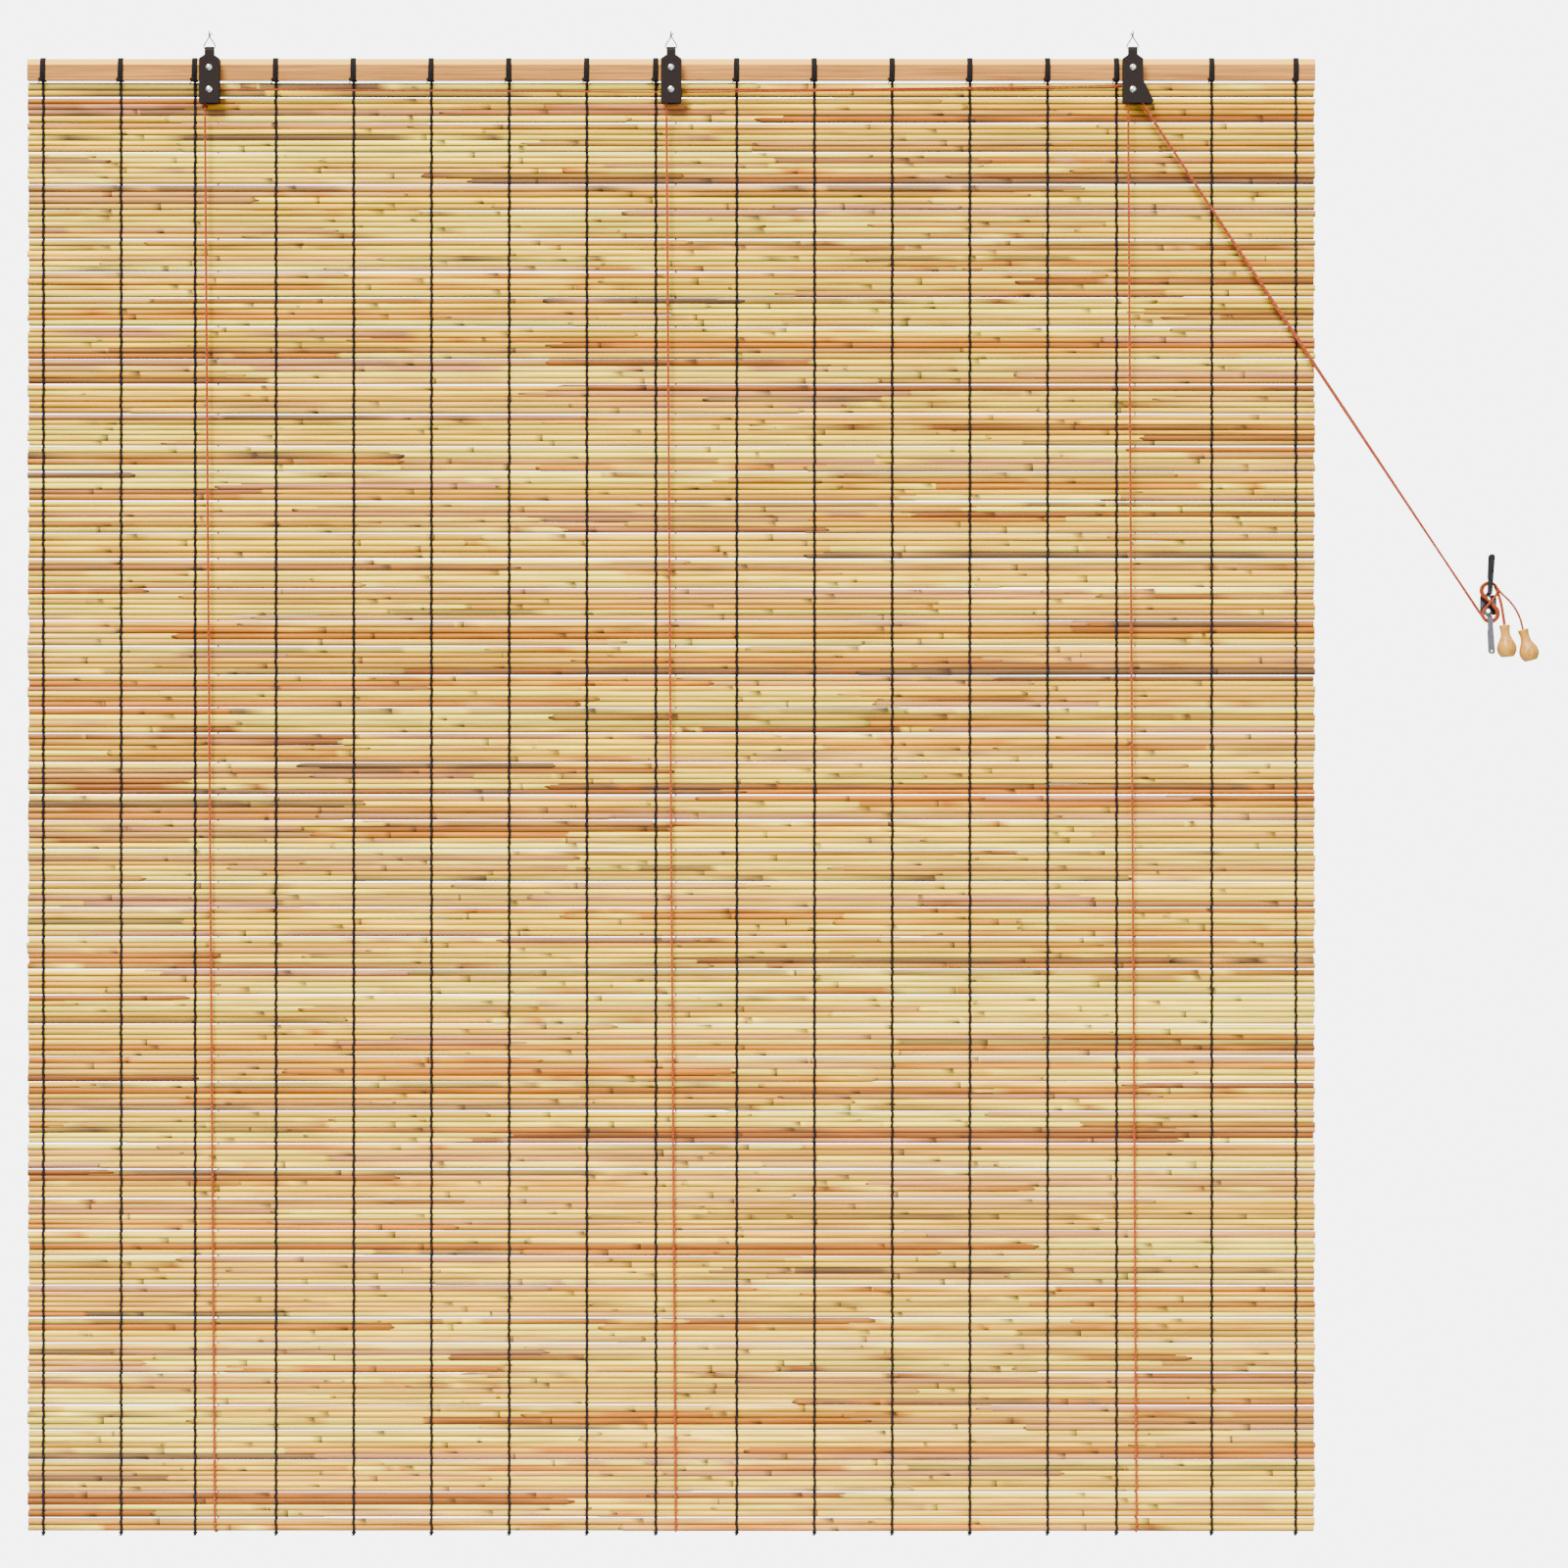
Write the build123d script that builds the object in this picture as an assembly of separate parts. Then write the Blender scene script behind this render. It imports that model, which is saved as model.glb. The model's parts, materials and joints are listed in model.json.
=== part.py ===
from build123d import *
import math
import os

# Reed roller blind on three pulley brackets, with its pull cords tied off on a wall cleat.
# Millimetres. +X to the right and +Y towards the wall as the viewer sees it, +Z up.
# The origin is the apex of the middle hanger wire, where the wall hook bears.

# Overall size and the three brackets
blind_width = 1400.0
blind_height = 1600.4
bracket_pitch = 501.0
bracket_places = {"left": -bracket_pitch, "middle": 0.0, "right": bracket_pitch}
slide_gap = 0.3

# Hanger wire: a triangle whose base lies in the bracket's fold
wire_diameter = 0.9
hanger_height = 13.3
hanger_base = 13.5
hanger_corner_radius = 1.2
hanger_twist_diameter = 2.3
hanger_twist_length = 3.4
hanger_spike_rise = 5.4
hanger_spike_lean = 0.7
hanger_spur_length = 2.6
hinge_play = 0.1

# Cords
strand_diameter = 1.8
strand_pitch = 1.9
pair_diameter = 2 * strand_diameter

# Sheave and its rivet
groove_radius = 4.0
sheave_rim_radius = 6.6
sheave_flange = 0.6
rivet_shank_diameter = 4.0
rivet_head_diameter = 7.5
rivet_head_height = 1.9
rivet_tail_diameter = 5.6
bore_play = 0.05
groove_width = 2 * strand_pitch + strand_diameter + 2 * slide_gap
sheave_width = groove_width + 2 * sheave_flange
sheave_cord_radius = groove_radius + slide_gap + strand_diameter / 2

# Bracket: one sheet folded over the hanger wire, front leaf and rear leaf alike
sheet_thickness = 1.0
leaf_gap = sheave_width + 2 * slide_gap
leaf_outside = leaf_gap / 2 + sheet_thickness
neck_width = 9.8
neck_length = 9.0
shoulder_drop = 4.2
leaf_width = 22.2
bolt_below_shoulder = 9.7
bolt_to_rivet = 24.0
leaf_below_rivet = 14.4
leaf_corner_radius = 1.5
flare_start_above_rivet = 10.7
flare_width = 11.0
fold_centre_z = wire_diameter / 2 + hinge_play - hanger_height - leaf_gap / 2
fold_top_z = fold_centre_z + leaf_outside
shoulder_z = fold_top_z - neck_length - shoulder_drop
bolt_z = shoulder_z - bolt_below_shoulder
rivet_z = bolt_z - bolt_to_rivet
leaf_bottom_z = rivet_z - leaf_below_rivet

# Headrail: a bevelled wooden lath bolted behind the rear leaves
rail_height = 23.0
rail_depth = 10.0
rail_bevel_height = 6.4
rail_bevel_depth = 2.2
rail_above_bolt = 10.7
rail_front_y = leaf_outside
rail_back_y = rail_front_y + rail_depth
rail_middle_y = rail_front_y + rail_depth / 2
rail_top_z = bolt_z + rail_above_bolt
rail_bottom_z = rail_top_z - rail_height

# Bolt through leaves, spacer and headrail
bolt_shank_diameter = 4.0
bolt_head_diameter = 7.5
bolt_head_height = 2.2
spacer_diameter = 7.0
washer_diameter = 9.0
washer_thickness = 0.8
nut_width = 7.0
nut_thickness = 2.0

# Cord anchors: each cord ends in a knot sunk into the headrail behind the rear leaf
anchor_below_bolt = 6.9
anchor_offsets = {"left": 7.6, "middle": 4.8, "right": 3.6}
anchor_hole_diameter = 2.2
knot_pocket_diameter = 5.0
knot_pocket_depth = 3.4
anchor_knot_diameter = 3.2

# Lashings and bindings of black cord
lash_width = 6.0
lash_thickness = 1.6
binding_width = 3.0
binding_thickness = 1.5
binding_knot_width = 6.2
binding_knot_height = 4.2
binding_knot_depth = 5.0
binding_beside_bracket = 17.0
binding_first_step = 90.0
binding_step = 84.5
binding_edge_margin = 17.0
bindings_per_bay = 5
last_bindings = (blind_width / 2 - 112.5, blind_width / 2 - 21.0)
binding_front_y = rail_front_y + strand_diameter + 2 * slide_gap

# Reed mat: bundles of reeds with a see-through gap below each bundle
mat_below_rail = 3.1
reed_depth = 5.2
reed_wall = 2.4
reed_gap = 1.4
first_bundle_height = 14.8
reed_pitch = 6.6
bundle_pitches = (27.6, 32.0, 35.2)
reeds_per_bundle = (4, 5, 6)
reed_swell = (1.08, 0.92, 1.04, 0.96)
reed_sink = (0.0, 0.35, 0.1, 0.45, 0.2)
crown_share = 0.24
gap_edge_land = 20.0
gap_middle_land = 8.0
mat_front_y = binding_front_y + binding_thickness + slide_gap
mat_middle_y = mat_front_y + reed_depth / 2
mat_back_y = mat_front_y + reed_depth
mat_top_z = rail_bottom_z - mat_below_rail
mat_bottom_z = rail_top_z - blind_height

# Guide pin in the flared corner of the right bracket
guide_pin_diameter = 3.0
guide_pin_across = 11.9
guide_pin_below_rivet = 11.9
guide_exit_length = 1.6
guide_cord_radius = guide_pin_diameter / 2 + slide_gap + strand_diameter / 2

# Cord routes in front of the mat
hem_offset = 4.8
droop_angle = 20.0
droop_length = 13.0
cross_run_z = {"left": -60.1, "middle": -58.3}
cross_run_enter_x = bracket_pitch - 22.0
cross_run_sag_x = 0.32 * bracket_pitch
cross_run_enter_z = {"left": -55.9, "middle": -54.2}

# Wall and cleat
wall_y = 18.0
cleat_x = 889.5
cleat_z = -617.0
cleat_sheet = 1.5
cleat_base_width = 18.0
cleat_base_height = 22.0
cleat_base_radius = 3.0
cleat_horn_width = 7.0
cleat_neck_width = 5.4
cleat_neck_z = 12.6
cleat_neck_y = 5.3
cleat_tip_z = 54.3
cleat_tip_y = -9.5
cleat_flange_depth = 2.4
cleat_flange_start_z = 25.0
cleat_flange_thickness = 1.4
cleat_hole_diameter = 4.2
cleat_hole_pitch = 13.0
cleat_tip_hole_diameter = 1.9
cleat_tip_hole_inset = 3.6

# Cord wound on the cleat in a figure of eight
winding_y = 8.75
winding_depth = 2 * strand_pitch + strand_diameter
winding_band = strand_pitch + strand_diameter + 2 * slide_gap
upper_loop_x = -0.5
upper_loop_z = 15.2
upper_loop_radius = 8.1
lower_loop_x = 0.5
lower_loop_z = -9.6
lower_loop_radius = 8.75
pair_lane = strand_pitch / 2
single_lane = -strand_pitch

# Turned wooden pulls
pull_length = 35.0
pull_lip_radius = 6.0
pull_neck_radius = 5.1
pull_belly_radius = 10.8
pull_foot_radius = 6.3
pull_neck_at = 9.5
pull_belly_at = 25.5
pull_hole_radius = 2.0
pull_pocket_radius = 3.6
pull_pocket_depth = 12.0
pull_knot_radius = 3.0
pull_knot_length = 4.0
pull_y = wall_y - slide_gap - pull_belly_radius
left_pull_top = Vector(905.6, pull_y, -639.1)
left_pull_tilt = 5.6
right_pull_top = Vector(925.6, pull_y, -644.0)
right_pull_tilt = 15.0

# Tail routes, from the winding down to the pulls
pair_tail_points = [
    Vector(895.4, winding_y + pair_lane, -595.9),
    Vector(899.9, 9.0, -606.4),
    Vector(903.0, 8.2, -619.6),
    Vector(904.6, 7.3, -631.4),
]
single_tail_points = [
    Vector(895.4, winding_y + single_lane, -595.9),
    Vector(902.1, 7.0, -604.9),
    Vector(909.6, 6.9, -611.3),
    Vector(917.2, pull_y, -620.6),
    Vector(922.9, pull_y, -632.0),
]


def write(name, shape):
    """Save one piece under its node name."""
    os.makedirs("parts", exist_ok=True)
    export_step(shape, f"parts/{name}.step")


def box_between(low, high):
    """Box from its lowest to its highest corner."""
    size = Vector(*high) - Vector(*low)
    middle = (Vector(*high) + Vector(*low)) / 2
    return Pos(middle.X, middle.Y, middle.Z) * Box(size.X, size.Y, size.Z)


def rod_y(diameter, x, z, y_from, y_to):
    """Round bar along Y."""
    return Pos(x, (y_from + y_to) / 2, z) * Rot(90, 0, 0) * Cylinder(diameter / 2, y_to - y_from)


def along_x(face_points, x_from, x_to):
    """Prism along X over a closed outline given as (y, z) points."""
    outline = Plane.YZ * make_face(Polyline(*face_points, close=True))
    return Pos(x_from, 0, 0) * extrude(outline, x_to - x_from, dir=(1, 0, 0))


def turned_y(profile, x, y, z):
    """Solid turned about a line along Y through (x, y, z), from (radius, y) points."""
    outline = make_face(Polyline(*profile, close=True))
    return Pos(x, y, z) * revolve(outline, Axis.Y)


def route_radii(points):
    """Arc radii as large as the runs on both sides of each corner allow."""
    radii = []
    for before, corner, after in zip(points, points[1:], points[2:]):
        run_in = corner - before
        run_out = after - corner
        half_turn = math.radians(run_in.get_angle(run_out)) / 2
        radii.append(0.45 * min(run_in.length, run_out.length) / math.tan(half_turn))
    return radii


def tube(name, points, radii, diameter):
    """Cord along straight runs joined by tangent arcs."""
    path = FilletPolyline(*points, radius=radii)
    section = Plane(origin=path @ 0, z_dir=path % 0) * Circle(diameter / 2)
    cord = sweep(section, path=path)
    drawn = math.pi * (diameter / 2) ** 2 * path.length
    rounded = [round(radius, 1) for radius in radii]
    print(f"{name}: length {path.length:.1f} mm, radii {rounded}, volume / drawn {cord.volume / drawn:.4f}")
    return cord


def crossing(start, heading, other, other_heading):
    """Point where two lines of the XZ plane meet."""
    across = other_heading.X * heading.Z - other_heading.Z * heading.X
    gap = other - start
    reach = (other_heading.X * gap.Z - other_heading.Z * gap.X) / across
    return start + heading * reach


def bundles():
    """Reed count and height of each bundle from the top down, the last one filling what is left."""
    listed = [(round(first_bundle_height / reed_pitch), first_bundle_height)]
    left = mat_top_z - mat_bottom_z - first_bundle_height - reed_gap
    while left > bundle_pitches[(len(listed) - 1) % 3]:
        place = (len(listed) - 1) % 3
        listed.append((reeds_per_bundle[place], bundle_pitches[place] - reed_gap))
        left -= bundle_pitches[place]
    listed.append((round(left / reed_pitch), left))
    return listed


def mat_profile():
    """Outline of the mat across its reeds, as (y, z) points, and the top of each gap."""
    front = []
    back = []
    gaps = []
    wall = reed_wall / 2
    z = mat_top_z
    for bundle, (count, height) in enumerate(bundles()):
        swells = [reed_swell[(reed + bundle) % len(reed_swell)] for reed in range(count)]
        unit = height / sum(swells)
        for reed, swell in enumerate(swells):
            tall = unit * swell
            crown = reed_depth / 2 - reed_sink[(reed + 2 * bundle) % len(reed_sink)]
            for side, edge in ((-1, front), (1, back)):
                y = mat_middle_y + side * crown
                edge.append((mat_middle_y + side * wall, z))
                edge.append((y, z - tall * crown_share))
                edge.append((y, z - tall * (1 - crown_share)))
            z -= tall
        front.append((mat_middle_y - wall, z))
        back.append((mat_middle_y + wall, z))
        gaps.append(z)
        z -= reed_gap
    return front + back[::-1], gaps[:-1]


def reed_mat():
    """The mat: one wall of reed ridges with see-through gaps held shut at its bindings."""
    outline, gaps = mat_profile()
    half = blind_width / 2
    middle = bracket_places["middle"] - binding_beside_bracket
    spans = (
        (gap_edge_land - half, middle - gap_middle_land / 2),
        (middle + gap_middle_land / 2, half - gap_edge_land),
    )
    wall = along_x(outline, -half, half)
    slots = [
        box_between((x_from, mat_front_y, z - reed_gap), (x_to, mat_back_y, z))
        for z in gaps
        for x_from, x_to in spans
    ]
    return wall - slots


def rail_outline(grow):
    """Headrail section as (y, z) points, grown outwards by a thickness."""
    bevel_shift = grow * math.tan(math.atan2(rail_bevel_height, rail_bevel_depth) / 2)
    top_shift = grow * math.tan(math.atan2(rail_bevel_depth, rail_bevel_height) / 2)
    return [
        (rail_back_y + grow, rail_top_z + grow),
        (rail_front_y + rail_bevel_depth - bevel_shift, rail_top_z + grow),
        (rail_front_y - grow, rail_top_z - rail_bevel_height + top_shift),
        (rail_front_y - grow, rail_bottom_z - grow),
        (rail_back_y + grow, rail_bottom_z - grow),
    ]


def headrail():
    """Bevelled lath with bolt holes and the cords' anchor holes."""
    rail = along_x(rail_outline(0), -blind_width / 2, blind_width / 2)
    for side, x in bracket_places.items():
        rail -= rod_y(bolt_shank_diameter + 2 * bore_play, x, bolt_z, rail_front_y, rail_back_y)
        hole_x = x + anchor_offsets[side]
        hole_z = bolt_z - anchor_below_bolt
        rail -= rod_y(anchor_hole_diameter, hole_x, hole_z, rail_front_y, rail_back_y)
        rail -= rod_y(knot_pocket_diameter, hole_x, hole_z, rail_front_y, rail_front_y + knot_pocket_depth)
    return rail


def binding_places():
    """Centre of each binding along X, from left to right."""
    places = [binding_edge_margin - blind_width / 2]
    places.append(places[0] + binding_step)
    for x in bracket_places.values():
        places.append(x - binding_beside_bracket)
    for x in (bracket_places["left"], bracket_places["middle"]):
        for step in range(bindings_per_bay):
            places.append(x - binding_beside_bracket + binding_first_step + binding_step * step - 2)
    places.extend(last_bindings)
    return sorted(places)


def binding(x):
    """Lashing round the headrail, runs down both faces of the mat, and the hem knot."""
    lash = along_x(rail_outline(lash_thickness), x - lash_width / 2, x + lash_width / 2)
    lash -= along_x(rail_outline(0), x - lash_width, x + lash_width)
    back_y = mat_back_y + slide_gap
    hem_z = mat_bottom_z - slide_gap - binding_thickness
    lash_bottom = rail_bottom_z - lash_thickness
    half = binding_width / 2
    front_run = box_between((x - half, binding_front_y, hem_z), (x + half, mat_front_y - slide_gap, lash_bottom))
    back_run = box_between((x - half, back_y, hem_z), (x + half, back_y + binding_thickness, lash_bottom))
    hem = box_between((x - half, binding_front_y, hem_z), (x + half, back_y + binding_thickness, hem_z + binding_thickness))
    knot = Pos(x, mat_middle_y - 1, hem_z + binding_thickness - binding_knot_height / 2) * Box(
        binding_knot_width, binding_knot_depth, binding_knot_height
    )
    knot = chamfer(knot.edges(), 1.0)
    return lash + front_run + back_run + hem + knot


def leaf_outline(flared):
    """Front view of a leaf, about its own centre line, as (x, z) points."""
    half = leaf_width / 2
    right = [(half, shoulder_z), (half, leaf_bottom_z)]
    if flared:
        right = [
            (half, shoulder_z),
            (half, rivet_z + flare_start_above_rivet),
            (half + flare_width, leaf_bottom_z + 2 * leaf_corner_radius),
            (half + flare_width, leaf_bottom_z),
        ]
    shoulder_top = shoulder_z + shoulder_drop
    return [
        (neck_width / 2, fold_top_z),
        (neck_width / 2, shoulder_top),
        *right,
        (-half, leaf_bottom_z),
        (-half, shoulder_z),
        (-neck_width / 2, shoulder_top),
        (-neck_width / 2, fold_top_z),
    ]


def fold_section(outside_radius):
    """Side view of everything inside the folded sheet's surface of that radius."""
    arc = ThreePointArc((-outside_radius, fold_centre_z), (0, fold_centre_z + outside_radius), (outside_radius, fold_centre_z))
    legs = Polyline(
        (outside_radius, fold_centre_z),
        (outside_radius, leaf_bottom_z - 1),
        (-outside_radius, leaf_bottom_z - 1),
        (-outside_radius, fold_centre_z),
    )
    return Plane.YZ * make_face([arc, legs])


def bracket(side, x):
    """Sheet folded over the hanger wire, with its bolt, rivet and guide pin holes."""
    flared = side == "right"
    reach = leaf_width
    outline = Plane.XZ * make_face(Polyline(*leaf_outline(flared), close=True))
    leaves = extrude(outline, leaf_outside, both=True)
    corners = leaves.edges().filter_by(Axis.Y).sort_by(Axis.Z)[:2]
    leaves = fillet(corners, leaf_corner_radius)
    outer = extrude(fold_section(leaf_outside), reach, both=True)
    inner = extrude(fold_section(leaf_gap / 2), reach + 1, both=True)
    sheet = leaves & outer
    sheet -= inner
    sheet -= rod_y(bolt_shank_diameter + 2 * bore_play, 0, bolt_z, -leaf_outside, leaf_outside)
    sheet -= rod_y(rivet_shank_diameter, 0, rivet_z, -leaf_outside, leaf_outside)
    sheet -= rivet_tail(0, rivet_z, rivet_shank_diameter, rivet_tail_diameter)
    if flared:
        pin_z = rivet_z - guide_pin_below_rivet
        sheet -= rod_y(guide_pin_diameter, guide_pin_across, pin_z, -leaf_outside, leaf_outside)
    return Pos(x, 0, 0) * sheet


def rivet_tail(x, z, small, large):
    """Cone that fills the countersink in the rear leaf."""
    return turned_y(
        [
            (0, leaf_gap / 2),
            (small / 2, leaf_gap / 2),
            (large / 2, leaf_outside),
            (0, leaf_outside),
        ],
        x,
        0,
        z,
    )


def domed_head(diameter, height, x, z, seat_y):
    """Round head on the front leaf, its flat side on the leaf."""
    radius = diameter / 2
    return turned_y(
        [
            (0, seat_y),
            (radius, seat_y),
            (0.84 * radius, seat_y - 0.55 * height),
            (0.5 * radius, seat_y - 0.9 * height),
            (0, seat_y - height),
        ],
        x,
        0,
        z,
    )


def sheave_rivet(x):
    """Domed rivet that carries the sheave, its tail closed flush in the rear leaf."""
    shank = rod_y(rivet_shank_diameter, x, rivet_z, -leaf_outside, leaf_outside)
    head = domed_head(rivet_head_diameter, rivet_head_height, x, rivet_z, -leaf_outside)
    return shank + head + rivet_tail(x, rivet_z, rivet_shank_diameter, rivet_tail_diameter)


def sheave(x):
    """Grooved wheel, turned about its bore."""
    bore = rivet_shank_diameter / 2 + bore_play
    half = sheave_width / 2
    wall = half - sheave_flange
    return turned_y(
        [
            (bore, -half),
            (sheave_rim_radius, -half),
            (sheave_rim_radius, -wall - 0.1),
            (groove_radius, -wall),
            (groove_radius, wall),
            (sheave_rim_radius, wall + 0.1),
            (sheave_rim_radius, half),
            (bore, half),
        ],
        x,
        0,
        rivet_z,
    )


def bolt(x):
    """Domed bolt through both leaves, the spacer and the headrail."""
    end_y = rail_back_y + washer_thickness + nut_thickness
    shank = rod_y(bolt_shank_diameter, x, bolt_z, -leaf_outside, end_y)
    return shank + domed_head(bolt_head_diameter, bolt_head_height, x, bolt_z, -leaf_outside)


def spacer(x):
    """Tube that keeps the leaves apart on the bolt."""
    tube_wall = rod_y(spacer_diameter, x, bolt_z, -leaf_gap / 2, leaf_gap / 2)
    return tube_wall - rod_y(bolt_shank_diameter + 2 * bore_play, x, bolt_z, -leaf_gap / 2, leaf_gap / 2)


def nut_and_washer(x):
    """Square nut and round washer behind the headrail, as two solids."""
    hole = bolt_shank_diameter + 2 * bore_play
    nut_y = rail_back_y + washer_thickness
    washer = rod_y(washer_diameter, x, bolt_z, rail_back_y, nut_y)
    nut = box_between(
        (x - nut_width / 2, nut_y, bolt_z - nut_width / 2),
        (x + nut_width / 2, nut_y + nut_thickness, bolt_z + nut_width / 2),
    )
    washer -= rod_y(hole, x, bolt_z, rail_back_y, nut_y)
    nut -= rod_y(hole, x, bolt_z, nut_y, nut_y + nut_thickness)
    return Compound(children=[washer, nut])


def wire_section():
    """Section of the hanger wire, with eight flats."""
    return RegularPolygon(wire_diameter / 2, 8, major_radius=False)


def hanger_wire(x, spur_side):
    """Wire triangle with its ends twisted together above the hook."""
    half = hanger_base / 2
    joint_z = hanger_twist_length / 4
    corners = [
        Vector(x - 0.2, 0, joint_z),
        Vector(x - half, 0, -hanger_height),
        Vector(x + half, 0, -hanger_height),
        Vector(x + 0.2, 0, joint_z),
    ]
    path = FilletPolyline(*corners, radius=hanger_corner_radius)
    loop = sweep(Plane(origin=path @ 0, z_dir=path % 0) * wire_section(), path=path)
    prism = RegularPolygon(hanger_twist_diameter / 2, 8)
    twist = Pos(x, 0, 0.2) * extrude(prism, hanger_twist_length / 2, both=True)
    spike = Line((x, 0, 0), (x - spur_side * hanger_spike_lean, 0, hanger_spike_rise))
    spur = Line((x, 0, 0.4), (x + spur_side * hanger_spur_length, 0, 1.5))
    for stub in (spike, spur):
        twist += sweep(Plane(origin=stub @ 0, z_dir=stub % 0) * wire_section(), path=stub)
    return loop + twist


def guide_pin(x):
    """Pin riveted flush into both leaves of the flared corner."""
    pin_z = rivet_z - guide_pin_below_rivet
    return rod_y(guide_pin_diameter, x + guide_pin_across, pin_z, -leaf_outside, leaf_outside)


def down_right(angle):
    """Unit vector of the XZ plane that falls to the right, by its angle from the vertical."""
    return Vector(math.sin(math.radians(angle)), 0, -math.cos(math.radians(angle)))


def up_right(angle):
    """Unit vector square to down_right, on its upper right side."""
    return Vector(math.cos(math.radians(angle)), 0, math.sin(math.radians(angle)))


def pull_line():
    """Angle of the taut cords from the vertical, and their ends beside the pin and the winding."""
    pin = Vector(bracket_places["right"] + guide_pin_across, 0, rivet_z - guide_pin_below_rivet)
    loop = Vector(cleat_x + lower_loop_x, 0, cleat_z + lower_loop_z)
    centres = loop - pin
    lean = math.degrees(math.atan2(centres.X, -centres.Z))
    same_side = math.degrees(math.asin((lower_loop_radius - guide_cord_radius) / centres.length))
    angle = lean - same_side
    side = up_right(angle)
    return angle, pin - side * guide_cord_radius, loop - side * lower_loop_radius


def exit_corners(lane):
    """Corners of a cord from the top of the right sheave, past the guide pin, to its end there."""
    centre = Vector(bracket_places["right"], 0, rivet_z)
    pin = Vector(guide_pin_across, 0, -guide_pin_below_rivet)
    lean = math.degrees(math.atan2(pin.X, -pin.Z))
    crossed = math.degrees(math.asin((sheave_cord_radius + guide_cord_radius) / pin.length))
    first = lean - crossed
    angle, beside_pin, _ = pull_line()
    off_sheave = centre + up_right(first) * sheave_cord_radius
    bend = crossing(off_sheave, down_right(first), beside_pin, down_right(angle))
    end = beside_pin + down_right(angle) * guide_exit_length
    shift = Vector(0, lane, 0)
    return off_sheave, down_right(first), bend + shift, end + shift


def back_and_hem(side, x):
    """Cord corners from its knot, down behind the mat and under the hem, with their radii."""
    back_x = x + anchor_offsets[side]
    hole_z = bolt_z - anchor_below_bolt
    clear = slide_gap + strand_diameter / 2
    turn_z = mat_bottom_z - clear
    corners = [
        Vector(back_x, rail_front_y + knot_pocket_depth - anchor_knot_diameter / 2, hole_z),
        Vector(back_x, rail_back_y + clear, hole_z),
        Vector(back_x, mat_back_y + clear, turn_z),
        Vector(x + hem_offset, mat_front_y - clear, turn_z),
    ]
    hem_radius = 0.49 * (mat_back_y - mat_front_y + 2 * clear)
    return corners, [clear, hem_radius, hem_radius]


def lift_cord(side, x):
    """One lift cord, from its knot to the end of the stretch that the brackets hold."""
    corners, radii = back_and_hem(side, x)
    top_z = rivet_z + sheave_cord_radius
    lane = {"left": strand_pitch, "middle": 0.0, "right": -strand_pitch}[side]
    own_lane = lane if side == "right" else 0.0
    corners.append(Vector(x - sheave_cord_radius, own_lane, top_z))
    radii.append(sheave_cord_radius)
    off_sheave, heading, bend, end = exit_corners(lane)
    if side == "right":
        top = crossing(off_sheave, heading, Vector(x, 0, top_z), Vector(1, 0, 0))
        corners.append(top + Vector(0, lane, 0))
    else:
        half_droop = math.radians(droop_angle / 2)
        over_x = x + sheave_cord_radius * math.tan(half_droop)
        corners.append(Vector(over_x, 0, top_z))
        radii.append(sheave_cord_radius)
        droop = down_right(90 - droop_angle) * droop_length
        corners.append(Vector(over_x + droop.X, 0.3, top_z + droop.Z))
        radii.append(30.0)
        if side == "left":
            behind_y = rail_front_y + slide_gap + strand_diameter / 2
            corners.append(Vector(-leaf_width, behind_y, cross_run_z[side]))
            radii.append(400.0)
            corners.append(Vector(leaf_width, behind_y, cross_run_z[side] - 0.1))
            radii.append(400.0)
        else:
            corners.append(Vector(cross_run_sag_x, 0.2, cross_run_z[side]))
            radii.append(400.0)
        enter = Vector(cross_run_enter_x, lane, cross_run_enter_z[side])
        corners.append(enter)
        radii.append(60.0)
        centre = Vector(bracket_places["right"], 0, rivet_z)
        gap = centre - enter
        reach = math.hypot(gap.X, gap.Z)
        rise = math.atan2(gap.Z, gap.X) + math.asin(sheave_cord_radius / reach)
        heading_in = Vector(math.cos(rise), 0, math.sin(rise))
        start = Vector(enter.X, 0, enter.Z)
        corners.append(crossing(start, heading_in, off_sheave, heading) + Vector(0, lane, 0))
    radii.append(sheave_cord_radius)
    corners.append(bend)
    radii.append(guide_cord_radius)
    corners.append(end)
    cord = tube(f"lift_cord_{side}", corners, radii, strand_diameter)
    knot_at = corners[0]
    return cord + Pos(knot_at.X, knot_at.Y, knot_at.Z) * Sphere(anchor_knot_diameter / 2)


def taut_cord(name, lane):
    """Straight cord from the guide pin to the winding on the cleat."""
    angle, beside_pin, on_loop = pull_line()
    start = beside_pin + down_right(angle) * guide_exit_length + Vector(0, lane, 0)
    end = on_loop + Vector(0, winding_y + lane, 0)
    line = Line(start, end)
    cord = sweep(Plane(origin=start, z_dir=line % 0) * Circle(strand_diameter / 2), path=line)
    print(f"{name}: length {line.length:.1f} mm, straight")
    return cord - winding()


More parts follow.
